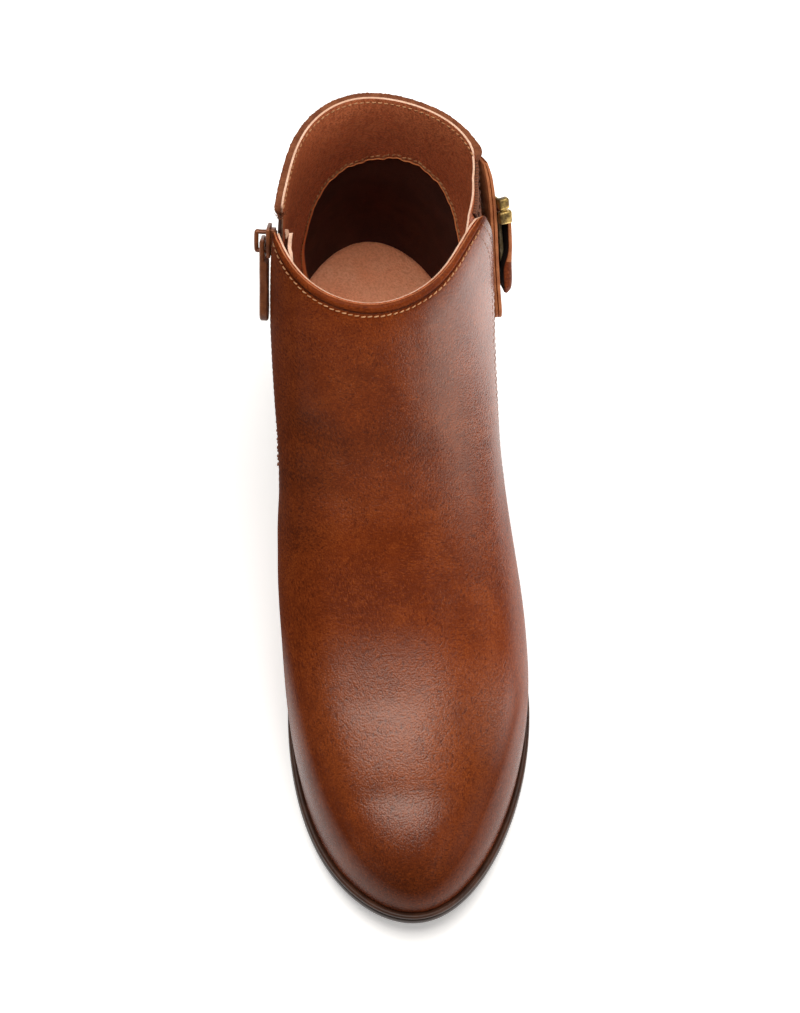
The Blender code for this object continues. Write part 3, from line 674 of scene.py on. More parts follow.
# how far the front panel's rear edges stand off, near the collar
lifts = {"outer": 1.7, "inner": 0.9, "around": 0.045, "levels": (0.55, 0.78)}


def frontLift(level, around):
    fade = np.interp(level, lifts["levels"], (0, 1))
    lift = lifts["outer"] * hump(around - seamOut(level), lifts["around"])
    lift += lifts["inner"] * hump(around - seamIn(level), lifts["around"])
    return lift * fade


def riseAt(around):
    # millimetres up the wall for one level, at the collar
    return np.linalg.norm(ring(1.0, around) - ring(0.96, around), axis=-1) / 0.04


def roundedTop(line, way, radius):
    # an edge line that turns in with a round corner as it reaches the collar
    start = line(1.0)
    rise = riseAt(start)
    girth = np.linalg.norm(ring(1.0, start + 0.01) - ring(1.0, start - 0.01)) / 0.02

    def at(level):
        left = radius - np.clip((1 - level) * rise, 0, radius)
        return line(level) + way * (radius - np.sqrt(radius**2 - left**2)) / girth

    return at


frontOuter, frontInner = roundedTop(seamOut, 1, 4.5), roundedTop(seamIn, -1, 3.0)
backOuter, backInner = roundedTop(goreRear, -1, 3.5), roundedTop(zipRear, 1, 3.0)


def topLevels(around, distances, below):
    # levels at set distances under the collar, then evenly down to the feather edge
    near = 1 - np.asarray(distances)[:, None] / riseAt(around)[None]
    share = 1 - (np.arange(below) + 1) / below
    return np.concatenate([near, near[-1][None] * share[:, None]])


# front panel, cut in one piece from toe to collar
frontPanel = {
    "thick": 1.3, "skived": 0.75, "rows": 118, "columns": 200,
    # distance under the top edge and height of the rolled collar band, its groove and stitch line
    "roll": [(0, -0.45), (0.25, -0.08), (0.6, 0.2), (1.0, 0.4), (1.4, 0.46), (1.9, 0.4), (2.3, 0.22),
             (2.6, -0.05), (2.85, -0.34), (3.1, -0.38), (3.4, -0.2), (3.8, -0.1), (4.2, -0.14),
             (4.6, -0.06), (5.2, 0.02), (6.2, 0.0)],
    "stitchAt": 4.15, "seamRows": (2.3, 4.9), "seamSink": 0.1, "seamTop": 0.985,
    # columns crowd towards the rear edges, which are skived and rounded
    "crowd": (0, 0.0016, 0.004, 0.007, 0.011, 0.016), "crowdEnd": 0.022, "skivedOver": 5.0,
    "arris": (0.28, 0.35), "rollOver": 2.5, "topThin": (0.3, 0.1),
    # soft troughs (below zero) and ridges: x and y of both ends, width, depth
    "folds": [
        (-20, 36, 16, 34, 6.0, -0.50), (-24, 67, 4, 66, 5.5, -0.22), (-10, 52, 10, 51, 8.0, 0.20),
        (-36, 160, -14, 141, 4.5, -0.70), (-38, 146, -12, 127, 5.0, -0.65),
        (-39, 128, -22, 116, 5.0, -0.40), (-12, 145, 18, 146, 6.0, -0.55), (-25, 132, 5, 120, 8.0, 0.40),
        (8, 176, 16, 156, 8.0, -0.30), (-30, 178, -24, 160, 5.0, 0.35),
    ],
}


def foldHeight(points):
    height = np.zeros(points.shape[:-1])
    for x0, y0, x1, y1, width, depth in frontPanel["folds"]:
        a, b = np.array((x0, y0)), np.array((x1, y1))
        run = b - a
        flat = points[..., :2] - a
        t = flat @ run / (run @ run)
        across = (flat[..., 0] * run[1] - flat[..., 1] * run[0]) / np.linalg.norm(run)
        ends = hump(np.clip(np.abs(t - 0.5) - 0.25, 0, None), 0.28)
        height += depth * hump(across, width) * ends
    return height


def frontOff(level, around):
    points = ring(level, around)
    onTop = np.interp(points[..., 2], (20, 34), (0, 1))
    return frontLift(level, around) + foldHeight(points) * onTop


# strength of the darkening and of the polish, place by place: the darkening is a burnish at the toe tip
# and along the seams, darker towards the feather edge, and painted shade on the inner side, in the
# collar's groove, across the instep, on the outer toe and in the fold troughs
frontBurnishAndShade = {"toe": 0.7, "feather": 0.35, "inner": 0.38, "groove": 0.75, "instep": 0.14, "seam": 0.45,
                "outerToe": 0.6, "trough": 0.45, "most": 0.92, "underRim": 0.6}
frontPolish = {"least": 0.06, "vamp": (1, 0.12, 0.12, 0.8), "toeSide": 0.9, "feather": 0.35,
               "collar": 0.08, "rim": 0.75, "outerEdge": 0.42, "worn": 0.8}


def paintFront(piece, levels, around, points, edge):
    # ranges are millimetres for x, y and edge, and slopes of the skin for outward and upward
    dark, shine = frontBurnishAndShade, frontPolish
    x, y = points[..., 0], points[..., 1]
    normal = skinNormal(levels, around)
    outward, upward = normal[..., 0], normal[..., 2]
    row = np.arange(len(levels))[:, None]
    rolled = len(frontPanel["roll"])
    rim = np.interp(upward, (0.1, 0.5), (shine["rim"], 0)) * np.interp(y, (60, 100), (1, 0))
    # darkening: burnish at the toe tip and along the seams, darker towards the feather edge; painted
    # shade on the inner side, in the collar's groove, across the instep, on the outer toe and in the
    # fold troughs, eased where the rim's sheen is
    burnish = dark["toe"] * hump(np.clip(y - 2, 0, None), 17) + dark["feather"] * hump(levels, 0.035)
    burnish += np.interp(-x, (18, 41), (0, dark["inner"])) * np.interp(levels, (0.25, 0.6), (0.1, 1))
    burnish += dark["groove"] * hump(row - 9, 1.3) + dark["instep"] * hump(y - 150, 30)
    burnish += dark["seam"] * hump(edge - 1.4, 1.5)
    burnish += np.interp(x, (8, 32), (0, dark["outerToe"])) * np.interp(y, (35, 75), (1, 0))
    burnish += dark["trough"] * np.clip(-foldHeight(ring(levels, around)) - 0.12, 0, 0.5)
    burnish = np.clip(burnish, 0, dark["most"]) * (1 - dark["underRim"] * rim)
    # lighter tone on the top-facing vamp and toe: partly wear and partly painted light where the top
    # faces the lamp
    worn = hump(y - 52, 26) * np.interp(upward, (0.62, 0.95), (0, shine["worn"]))
    least = shine["least"]
    vamp = np.interp(y, (70, 92, 118, 135), shine["vamp"])
    vamp = vamp * np.interp(outward, (-0.7, -0.3, 0.55, 0.85), (least, 1, 1, 0.5))
    shaft = np.interp(levels, (0.34, 0.70), (0, 1)) * np.interp(outward, (0.1, 0.4), (0, 1))
    polish = np.maximum(vamp * np.interp(upward, (0.30, 0.68), (least, 1)), shaft)
    polish *= np.interp(y, (8, 24), (0.05, 1))
    toeSide = np.interp(outward, (0.12, 0.42), (0, shine["toeSide"]))
    polish *= 1 - toeSide * np.interp(y, (45, 68), (1, 0))
    polish += shine["feather"] * hump(levels, 0.012)
    polish *= np.interp(row, (rolled - 4, rolled + 3), (shine["collar"], 1))
    outerEdge = np.interp(outward, (0.45, 0.85), (0, shine["outerEdge"]))
    outerEdge *= np.interp(y, (55, 85, 150, 175), (0, 1, 1, 0))
    paintOutside(piece, "burnish", burnish)
    paintOutside(piece, "worn", worn)
    paintOutside(piece, "polish", np.maximum(np.maximum(polish, rim), outerEdge))


def makeFrontPanel():
    near, end = np.array(frontPanel["crowd"]), frontPanel["crowdEnd"]
    s = np.concatenate([near, np.linspace(end, 1 - end, frontPanel["columns"]), 1 - near[::-1]])
    roll = np.array(frontPanel["roll"])
    top = between(seamOut(1.0), seamIn(1.0), s)
    levels = topLevels(top, roll[:, 0], frontPanel["rows"])
    around = between(frontOuter(levels), frontInner(levels), s)
    off = frontOff(levels, around)
    rolled = np.zeros(len(levels))
    rolled[: len(roll)] = roll[:, 1]
    girth = np.linalg.norm(np.diff(ring(levels, around), axis=1), axis=-1).sum(1)
    edge = np.minimum(s, 1 - s)[None] * girth[:, None]
    corner = np.clip(edge / frontPanel["skivedOver"], 0, 1)
    outer = off + rolled[:, None] * np.clip(edge / frontPanel["rollOver"], 0.15, 1)
    drop, over = frontPanel["arris"]
    outer -= drop * hump(edge, over)
    for row in frontPanel["seamRows"]:
        outer -= frontPanel["seamSink"] * hump(edge - row, 0.5) * (levels < frontPanel["seamTop"])
    inner = off - frontPanel["skived"] - (frontPanel["thick"] - frontPanel["skived"]) * corner
    for row, thin in enumerate(frontPanel["topThin"]):
        inner[row] += thin
    points = skin(levels, around, outer)
    piece = sheetPiece("frontPanel", points, skin(levels, around, inner), [leather, rawEdge, lining])
    paintFront(piece, levels, around, points, edge)
    return piece


front = makeFrontPanel()
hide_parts("upper")
print("front panel:", len(front.data.polygons), "faces")

# back panel: heel, both quarters, with the gore's notch and the zip's slot cut out
backPanel = {"thick": 0.75, "rows": 64, "columns": 250, "under": 3.0, "flare": 1.5, "flareOver": 3.4,
             "perLevel": 170.0, "inset": 0.4, "frayed": 0.13, "frayedOver": 1.2, "frayedTop": 0.12,
             "arris": (0.3, 0.3), "corner": 0.7, "cornerAround": 0.022, "cornerOver": 9.0, "tucked": 0.1,
             "tops": (0, 0.15, 0.4, 0.8, 1.4, 2.2, 3.2, 4.4),
             "burnish": 0.35, "burnishOver": 7.0, "polish": 0.25}


def backOff(level):
    # the wall thickens towards its raw top edge
    depth = (1 - level) * backPanel["perLevel"]
    return -last["lap"] + backPanel["flare"] * hump(depth, backPanel["flareOver"])


def makeBackPanel():
    rows = np.unique(np.concatenate([
        np.linspace(0, 0.97, backPanel["rows"]), [goreShape["foot"], zipShape["foot"]],
        1 - np.array(backPanel["tops"]) / backPanel["perLevel"],
    ]))
    under, inset = backPanel["under"], backPanel["inset"]
    # round the heel from under the front panel's inner edge to under its outer edge:
    # line, columns up to the next line, what they belong to
    bands = [
        (shifted(crossing(shifted(innerSeam, -under), False), -1), 4, "zip"),
        (shifted(crossing(shifted(innerSeam, inset), False), -1), 8, "zip"),
        (shifted(backInner, -1), backPanel["columns"], "back"),
        (backOuter, 16, "gore"),
        (crossing(shifted(outerSeam, inset), True), 4, "gore"),
    ]
    final = crossing(shifted(outerSeam, -under), True)
    edges = [line(rows) for line, count, name in bands] + [final(rows)]
    columns, kind = [], []
    for (line, count, name), start, end in zip(bands, edges, edges[1:]):
        columns += [between(start, end, t) for t in np.linspace(0, 1, count, endpoint=False)]
        kind += [name] * count
    around = np.array([*columns, edges[-1]]).T
    kind = np.array(kind)
    level = np.broadcast_to(rows[:, None], around.shape)
    keep = np.ones((len(rows) - 1, len(kind)), bool)
    for name, shape in (("gore", goreShape), ("zip", zipShape)):
        keep[np.ix_(rows[:-1] >= shape["foot"] - 1e-6, kind == name)] = False
    fray = dice.normal(0, backPanel["frayed"], around.shape)
    depth = (1 - level) * backPanel["perLevel"]
    drop, over = backPanel["arris"]
    off = backOff(level) - drop * hump(depth, over) + fray * hump(depth, backPanel["frayedOver"])
    corner = backPanel["corner"] * hump(around - goreRear(level), backPanel["cornerAround"])
    off = off + corner * hump(depth, backPanel["cornerOver"])
    hidden = (around > seamOut(level)) | (around < seamIn(level) - 1)
    sunk = np.where(hidden, -backPanel["tucked"], 0)
    outer = skin(level, around, off + sunk)
    inner = skin(level, around, -last["lap"] - backPanel["thick"] + sunk)
    outer[-1, :, 2] += dice.normal(0, backPanel["frayedTop"], around.shape[1])
    return sheetPiece("backPanel", outer, inner, [leather, darkEdge, lining], keep)


back = makeBackPanel()
spots = np.array([v.co for v in back.data.vertices]) / mm + last["centre"]
overSeat = spots[:, 2] - seat(spots[:, 1])
# the back panel is darker towards its bottom
paint(back, "burnish", backPanel["burnish"] * hump(overSeat, backPanel["burnishOver"]))
paint(back, "polish", np.full(len(spots), backPanel["polish"]))
paint(back, "worn", np.zeros(len(spots)))
print("back panel:", len(back.data.polygons), "faces")

# linings, with their pale raw edges showing along the collar
linings = {"frontTop": -1.36, "backTop": -1.62, "thick": 0.72, "proud": 0.35, "rows": 60, "short": 0.002}
linings["face"] = linings["backTop"] - linings["thick"]


def liningSheet(name, starts, ends, bottom, columns, topOff, lift=None):
    tops = np.array([0.0, 0.2, 0.6, 1.2])
    s = np.linspace(0, 1, columns)
    top = between(starts(1.0), ends(1.0), s)
    levels = topLevels(top, tops - linings["proud"], linings["rows"])
    levels = np.maximum(levels, bottom)
    levels = levels[np.concatenate([[True], (np.diff(levels, axis=0) < 0).all(1)])]
    around = between(starts(levels), ends(levels), s)
    off = topOff + (lift(levels, around) if lift else 0.0)
    outer = skin(levels, around, off)
    inner = skin(levels, around, off - linings["thick"])
    return sheetPiece(name, outer, inner, edgedLining)


short = linings["short"]
frontLining = liningSheet("frontLining", shifted(frontOuter, short), shifted(frontInner, -short),
                          0.06, 120, linings["frontTop"], frontLift)
backLining = liningSheet("backLining", shifted(backInner, short - 1), shifted(backOuter, -short),
                         0.05, 110, linings["backTop"])

# dark grip inside the heel
gripLook = {
    "back": -2.4, "middle": 0.034, "spineTop": 0.6,
    # its edge, an arch: place round, level
    "arch": [(-0.066, 0.01), (-0.071, 0.18), (-0.069, 0.36), (-0.061, 0.54), (-0.040, 0.65),
             (0.0, 0.705), (0.04, 0.748), (0.078, 0.712), (0.100, 0.63), (0.122, 0.5), (0.136, 0.3),
             (0.14, 0.01)],
    # share of the way in from the edge, and height of the face: a rolled band, then flat
    "band": [(0, -2.75), (0.012, -2.95), (0.026, -2.95), (0.04, -2.75), (0.055, -2.5)],
}


def makeHeelGrip():
    rows = np.array(gripLook["arch"])
    run = runLength(rows * (4, 1))
    at = np.linspace(0, run[-1], 220)
    edge = cubic(run, rows, at)
    edge[:, 1] += 0.004 * np.sin(at * 61) + 0.003 * np.sin(at * 143 + 1)
    edge[:, 1] = np.maximum(edge[:, 1], 0.005)
    spineTop = np.minimum(edge[:, 1] * 0.85, gripLook["spineTop"])
    spine = np.stack([np.full(len(at), gripLook["middle"]), spineTop], 1)
    bandAt, bandFace = np.array(gripLook["band"]).T
    t = np.concatenate([bandAt, [0.1, 0.2, 0.35, 0.5, 0.65, 0.8, 0.9, 1.0]])
    grid = between(edge[None], spine[None], t[:, None, None])
    outer = skin(grid[..., 1], grid[..., 0], np.interp(t, bandAt, bandFace)[:, None])
    inner = skin(grid[..., 1], grid[..., 0], gripLook["back"])
    piece = sheetPiece("heelGrip", inner, outer, [gripCloth, rawEdge, gripCloth])
    band = np.broadcast_to(np.interp(t, (0.03, 0.045), (1.0, 0.0))[:, None], grid.shape[:2]).ravel()
    paint(piece, "band", np.concatenate([band, band]))
    return piece, edge


heelGrip, gripEdge = makeHeelGrip()
print("linings ready")


# thread: rows of stitches (pitch, length, radius, rise, slant)
def along(levels, arounds, off):
    levels, arounds = spread(levels, arounds)
    return skin(levels, arounds, off), skinNormal(levels, arounds)


def collarLine(start, end, depth, count=200):
    top = np.linspace(start, end, count)
    return topLevels(top, [depth], 1)[0], top


levels, arounds = collarLine(seamOut(1.0) + 0.012, seamIn(1.0) - 0.004, frontPanel["stitchAt"])
collarSpots = along(levels, arounds, frontOff(levels, arounds) - 0.1)
collarRow = stitchRow(*collarSpots, 2.2, 1.7, 0.26, 0.2, 0.18)
levels, arounds = collarLine(zipRear(1.0) - 0.99, goreRear(1.0) - 0.006, 1.7)
backRowInside = stitchRow(skin(levels, arounds, linings["face"]), -skinNormal(levels, arounds),
                          2.1, 1.5, 0.28, 0.16, 0.2)
backRowOutside = stitchRow(*along(levels, arounds, backOff(levels)), 2.1, 1.5, 0.22, 0.14, 0.2)
levels, arounds = gripEdge[8:-8, 1], gripEdge[8:-8, 0]
gripRow = stitchRow(skin(levels + 0.012, arounds, linings["face"] - 0.05), -skinNormal(levels, arounds),
                    2.2, 1.7, 0.27, 0.2, 0.25)
stitches = stitchPiece("collarStitches", [collarRow, backRowInside, backRowOutside, gripRow], thread)

seamRows = []
levels = np.linspace(0.985, 0.02, 220)
for line, outerSide, rows in ((outerSeam, True, ((2.3, 0.23, 0.1), (4.9, 0.2, 0.08))),
                              (innerSeam, False, ((2.3, 0.2, 0.08),))):
    for step, girth, rise in rows:
        arounds = crossing(shifted(line, -step * 1.25), outerSide)(levels)
        sunk = frontOff(levels, arounds) - 0.18
        seamRows.append(stitchRow(*along(levels, arounds, sunk), 2.4, 1.8, girth, rise))
seamStitches = stitchPiece("seamStitches", seamRows, seamThread)
print("stitches:", len(stitches.data.polygons) + len(seamStitches.data.polygons), "faces")

# elastic gore, ribbed down its length, with the lining's pale edge behind it
goreLook = {"ribs": 19, "perRib": 8, "levels": 46, "sink": 0.7, "thick": 1.2, "ribHeight": 0.28,
            "rearInset": 0.45, "frontInset": 0.7, "sag": 1.9}


def goreSag(level, s):
    # the elastic falls in a little towards its free top edge
    high = np.interp(level, (0.72, 0.97), (0, 1))
    return goreLook["sag"] * high * np.interp(s, (0, 0.35, 1), (0, 1, 1))


def makeGore():
    columns = goreLook["ribs"] * goreLook["perRib"] + 1
    s = np.linspace(0, 1, columns)
    levels = np.linspace(goreShape["foot"] + 0.005, goreShape["top"], goreLook["levels"])[:, None]
    start = crossing(shifted(goreY, -goreLook["rearInset"]), True)(levels)
    end = crossing(shifted(outerSeam, goreLook["frontInset"]), True)(levels)
    around = between(start, end, s)
    rib = 0.5 - 0.5 * np.cos(2 * np.pi * goreLook["ribs"] * s)
    level = np.broadcast_to(levels, around.shape)
    sag = goreSag(level, s)
    high = -goreLook["sink"] + goreLook["ribHeight"] * (rib - 1) - sag
    outer = skin(level, around, high)
    inner = skin(level, around, -goreLook["sink"] - goreLook["thick"] - sag)
    piece = sheetPiece("goreElastic", outer, inner, [elastic])
    ribs = np.broadcast_to(rib, around.shape).ravel()
    paint(piece, "rib", np.concatenate([ribs, ribs]))
    return piece


gore = makeGore()
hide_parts("gore")


backingLook = {"below": 0.02, "above": 0.012, "aside": 0.004, "tuck": 0.09, "gap": 0.08, "tuckGap": 0.2,
               "thick": 0.7}


def goreBacking():
    foot, top = goreShape["foot"] - backingLook["below"], goreShape["top"] + backingLook["above"]
    levels = np.linspace(foot, top, 30)[:, None]
    s = np.concatenate([np.linspace(0, 1, 40), np.linspace(1.03, 1.5, 14)])
    start, end = goreRear(levels) - backingLook["aside"], seamOut(levels) + backingLook["aside"]
    around = between(start, end, np.minimum(s, 1)) + backingLook["tuck"] * np.clip(s - 1, 0, None)
    level = np.broadcast_to(levels, around.shape)
    # ahead of the gore it comes back to the front lining
    tucked = np.interp(s, (1.0, 1.4), (1, 0))
    off = -goreLook["sink"] - goreLook["thick"] - backingLook["gap"]
    off = off - goreSag(level, np.minimum(s, 1)) * tucked - backingLook["tuckGap"] * (1 - tucked)
    inner = skin(level, around, off - backingLook["thick"])
    return sheetPiece("goreBacking", skin(level, around, off), inner, edgedLining)


backing = goreBacking()
levels = np.full(60, goreShape["top"] - 0.02)
arounds = np.linspace(goreRear(levels[0]) + 0.004, seamOut(levels[0]) - 0.004, 60)
goreFace = -goreLook["sink"] - goreSag(levels, np.linspace(0, 1, 60))
goreRow = stitchRow(*along(levels, arounds, goreFace), 2.4, 1.7, 0.3, 0.2)
goreStitches = stitchPiece("goreStitches", [goreRow], darkThread)
print("gore ready")

# strap down across the gore
strapLook = {
    "corner": (232.0, 140.0), "slope": np.radians(51.0), "run": (-3.0, 63.0), "half": 9.0, "thick": 2.6,
    "round": 6.0, "roundTo": 1.45, "lean": 2.0, "groove": 1.25,
    # height over the skin along the strap; the slanting cut at its rear end, skived thin
    "seat": [(-4.0, -0.4), (14.0, 0.1), (36.0, 0.6), (62.0, 2.3)],
    "cut": 5.0, "cutSlope": 0.81, "cutCrowd": 0.02, "skived": 0.35, "skivedTo": 10.0,
}


def strapFrames():
    around, levels = np.linspace(0.02, 0.48, 70), np.linspace(0.45, 1.06, 50)
    points = ring(levels[:, None], around[None])
    rows, columns = points.shape[:2]
    faces = sheetFaces(rows, columns)[0]
    tree = BVHTree.FromPolygons(points.reshape(-1, 3).tolist(), faces.tolist())
    ahead, down = np.cos(strapLook["slope"]), np.sin(strapLook["slope"])
    cornerY, cornerZ = strapLook["corner"]

    def hit(run, across):
        y = cornerY - run * ahead - (across - strapLook["half"]) * down
        z = cornerZ - run * down + (across - strapLook["half"]) * ahead
        return tree.ray_cast(Vector((last["ballWidth"], y, z)), Vector((-1, 0, 0)))[0]

    lean = strapLook["lean"]
    seatRows = np.array(strapLook["seat"])
    runs = np.arange(-3.5, 64.6, 0.5)
    table = []
    for run in runs:
        way = hit(run + lean, 0) - hit(run - lean, 0)
        up = (hit(run, lean) - hit(run, -lean)).normalized()
        out = up.cross(way).normalized()
        base = hit(run, 0) + out * cubic(seatRows[:, 0], seatRows[:, 1:], [run])[0, 0]
        table.append([*base, *up, *out])
    return runs, np.array(table)


strapRuns, strapTable = strapFrames()


def onStrap(run, across, off):
    run, across, off = spread(run, across, off)
    t = np.stack([np.interp(run, strapRuns, column) for column in strapTable.T], -1)
    return t[..., :3] + t[..., 3:6] * across[..., None] + t[..., 6:] * off[..., None]


def bandSection(half, thick, groove=None):
    # edge profile of a leather band: rolled arrises, a line between two layers on each edge
    edge = [(0.0, 0.30), (0.10, 0.10), (0.32, 0.0)]
    right = [(half - e, o) for e, o in edge[::-1]]
    if groove:
        right += [(half, groove - 0.22), (half - 0.24, groove), (half, groove + 0.22)]
    right += [(half - e, thick - o) for e, o in edge]
    top = [(half * t, thick) for t in np.linspace(0.8, -0.8, 7)]
    left = [(-a, o) for a, o in right[::-1]]
    bottom = [(half * t, 0.0) for t in np.linspace(-0.8, 0.8, 7)]
    return np.array(right + top + left + bottom)


def bandSlots(section, rows, half, under=0):
    # slot 1 on the cut edges and both ends, under on the lower side
    ahead = np.roll(section, -1, axis=0)
    rim = np.minimum(np.abs(section[:, 0]), np.abs(ahead[:, 0])) > half - 0.2
    low = np.maximum(section[:, 1], ahead[:, 1]) < 0.05
    return [*np.tile(np.where(rim, 1, np.where(low, under, 0)), rows - 1), 1, 1]


def makeStrap():
    start, end = strapLook["run"]
    half, rounding = strapLook["half"], strapLook["round"]
    straight = np.linspace(start, end - rounding, 70, endpoint=False)
    turn = np.linspace(0, strapLook["roundTo"], 12)
    run = np.concatenate([straight, end - rounding * (1 - np.sin(turn))])
    wide = np.concatenate([np.full(len(straight), half), half - rounding * (1 - np.cos(turn))])
    section = bandSection(half, strapLook["thick"], strapLook["groove"])
    across = np.sign(section[:, 0]) * (wide[:, None] - (half - np.abs(section[:, 0])))
    keep = np.abs(section[:, 0]) < half * 0.85
    across[:, keep] = section[keep, 0] / half * wide[:, None]
    skived = np.interp(run, (start, strapLook["skivedTo"]), (strapLook["skived"], 1.0))
    cut = np.maximum(start, strapLook["cut"] + (across - half) * strapLook["cutSlope"])
    crowd = strapLook["cutCrowd"] * (run - start)[:, None]
    points = onStrap(np.maximum(run[:, None], cut + crowd), across, section[:, 1] * skived[:, None])
    faces = loftFaces(len(run), len(section))
    slots = bandSlots(section, len(run), half, under=1)
    return meshPiece("strap", points.reshape(-1, 3), faces, [strapLeather, rawEdge], slots)


strap = makeStrap()
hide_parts("strap")

# leather end folded round the buckle's bar
foldLook = {
    # place along the strap, height, thickness
    "run": [(53.0, 4.6, 1.0), (51.4, 5.1, 2.0), (48.0, 5.55, 2.8), (43.5, 5.75, 2.8), (40.6, 6.3, 2.0),
            (37.8, 6.8, 1.45), (33.0, 7.05, 1.4), (29.0, 7.05, 1.4), (25.2, 6.7, 1.4), (22.9, 5.15, 1.4),
            (25.2, 3.65, 1.4), (29.0, 3.6, 1.4), (37.0, 3.6, 1.4), (45.5, 3.6, 1.3)],
    "half": 8.6, "steps": 150, "tip": 0.8, "tipOver": 2.5, "pinch": 2.1, "trimmed": 0.12,
}


def makeStrapEnd():
    rows, half = np.array(foldLook["run"]), foldLook["half"]
    length = runLength(rows[:, :2])
    at = np.linspace(0, length[-1], foldLook["steps"])
    middle = cubic(length, rows, at)
    way = cubic(length, rows, at + 0.05) - cubic(length, rows, at - 0.05)
    side = unit(np.stack([-way[:, 1], way[:, 0]], 1))
    section = bandSection(half, 1.0)
    share = section[:, 1] - 0.5
    tip = np.interp(at, (0, foldLook["tipOver"]), (foldLook["tip"], 1.0))
    run, off = (middle[:, k, None] + side[:, k, None] * share * middle[:, 2, None] for k in (0, 1))
    pinch = np.interp(-section[:, 0], (-2, 7), (0, foldLook["pinch"]))
    looped = np.interp(middle[:, 0], (25, 29, 38, 43), (0, 1, 1, 0)) * (middle[:, 1] > 5.2)
    across = section[:, 0] * tip[:, None]
    under = np.interp(at, (length[9] + 0.5, length[10] + 0.5), (1.0, foldLook["trimmed"]))
    # the lower layer is trimmed back
    across = np.where(across > 0, across * under[:, None], across)
    points = onStrap(run, across, off - looped[:, None] * pinch)
    slots = np.array(bandSlots(section, len(at), half)[:-2]).reshape(len(at) - 1, len(section))
    # slot 2 is the painted shade: the faces round the hollow, the lower layer past the fold and the end
    # cap
    hidden = (section[:, 1] > 0.85) & (np.abs(section[:, 0]) < half - 0.2)
    slots[:, hidden] = 2
    slots[np.ix_((middle[:-1, 0] > 41.5) & (at[:-1] < length[6]), ~hidden)] = 0
    slots[at[:-1] > length[10]] = 2
    return meshPiece("strapEnd", points.reshape(-1, 3), loftFaces(len(at), len(section)),
                     [strapLeather, rawEdge, hollowShade], [*slots.ravel(), 0, 2])


strapEnd = makeStrapEnd()
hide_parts("strap_end")

# buckle: blocks and bars in the strap's own axes (along, across, off), low and high corners
buckleParts = {
    "rearKnob": ((18.0, 8.9, 2.7), (21.7, 12.0, 6.5), 0.7),
    "frontKnob": ((22.4, 8.9, 2.7), (26.8, 12.0, 7.3), 0.8),
    "upperCore": ((20.0, 9.4, 3.4), (24.6, 11.0, 5.8), 0.4),
    "rearKnobLow": ((18.0, -12.0, 3.0), (21.7, -9.3, 6.3), 0.7),
    "frontKnobLow": ((22.4, -12.0, 2.9), (26.8, -9.3, 7.0), 0.8),
    "lowerCore": ((20.0, -11.0, 3.4), (24.6, -9.4, 5.8), 0.4),
    "rearBar": ((18.3, -10.4, 2.75), (20.8, 10.4, 4.0), 0.5),
    "frontBar": ((25.2, -10.4, 4.6), (26.5, 10.4, 5.6), 0.4),
}
points, faces = gather([roundedBox(*corners) for corners in buckleParts.values()])
buckle = meshPiece("buckle", onStrap(*points.T), faces, [brass], sharp=1.2)
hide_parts("buckle")

prongLook = {
    # place along the strap and height, then radius by the number of the place
    "run": [(26.0, 6.1), (27.4, 5.5), (31.0, 5.25), (38.0, 5.15), (43.5, 5.0), (44.8, 4.85)],
    "girth": [(0, 0.8), (1, 0.8), (4.2, 0.65), (5, 0.3)], "across": 1.2, "steps": 30, "sides": 12,
}


def makeProng():
    steps, sides, rows = prongLook["steps"], prongLook["sides"], prongLook["run"]
    t = np.linspace(0, len(rows) - 1, steps)
    run, height = cubic(np.arange(len(rows)), rows, t).T
    girths = np.interp(t, *np.array(prongLook["girth"]).T)
    rod = tubeGrid(onStrap(run, prongLook["across"], height), sides, girths, upward=(1, 0, 0))
    return meshPiece("buckleProng", rod.reshape(-1, 3), loftFaces(steps, sides), [paleBrass], sharp=1.2)


prong = makeProng()
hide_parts("buckle_prong")
print("strap and buckle ready")

# zip: tape, teeth, slider, pull
zipLook = {"tapeSink": 1.2, "tapeThick": 0.8, "pitch": 1.55, "tooth": (1.9, 0.85, 1.5),
           "toothLean": 0.72, "toothSink": 0.75, "toothRound": 0.22,
           "tapeRows": 70, "tapeColumns": 13, "frontInset": 0.7, "rearInset": 0.45, "weave": 0.06}


def makeTape():
    rows, sink = zipLook["tapeRows"], zipLook["tapeSink"]
    level = np.linspace(zipShape["foot"] + 0.005, zipShape["top"], rows)[:, None]
    s = np.linspace(0, 1, zipLook["tapeColumns"])
    start = crossing(shifted(innerSeam, zipLook["frontInset"]), False)(level)
    end = crossing(shifted(innerSeam, zipShape["slot"] - zipLook["rearInset"]), False)(level)
    around = between(start, end, s)
    weave = zipLook["weave"] * np.cos(np.arange(rows) * np.pi)[:, None]
    inner = skin(level, around, -sink - zipLook["tapeThick"])
    return sheetPiece("zipTape", skin(level, around, weave - sink), inner, [tapeCloth])


tape = makeTape()
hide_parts("zip_tape")

zipGuard = {"ahead": 0.058, "behind": 0.034, "offs": (-3.0, -5.0, -3.0), "thick": 1.3,
            "foot": 0.44, "top": 0.985, "wave": 0.004, "waves": 14, "drop": 0.07}


def makeZipGuard():
    # soft strip behind the zip, standing off the wall towards the rear
    s = np.linspace(0, 1, 24)
    top = zipGuard["top"] + zipGuard["wave"] * np.sin(s * zipGuard["waves"])
    top = top - zipGuard["drop"] * np.interp(s, (0.60, 0.85), (0, 1))
    levels = between(zipGuard["foot"], top, np.linspace(0, 1, 50)[:, None])
    around = seamIn(levels) + between(-zipGuard["ahead"], zipGuard["behind"], s)
    off = np.interp(s, (0, 0.63, 1), zipGuard["offs"])
    inner = skin(levels, around, off - zipGuard["thick"])
    return sheetPiece("zipGuard", skin(levels, around, off), inner, edgedLining)


guard = makeZipGuard()

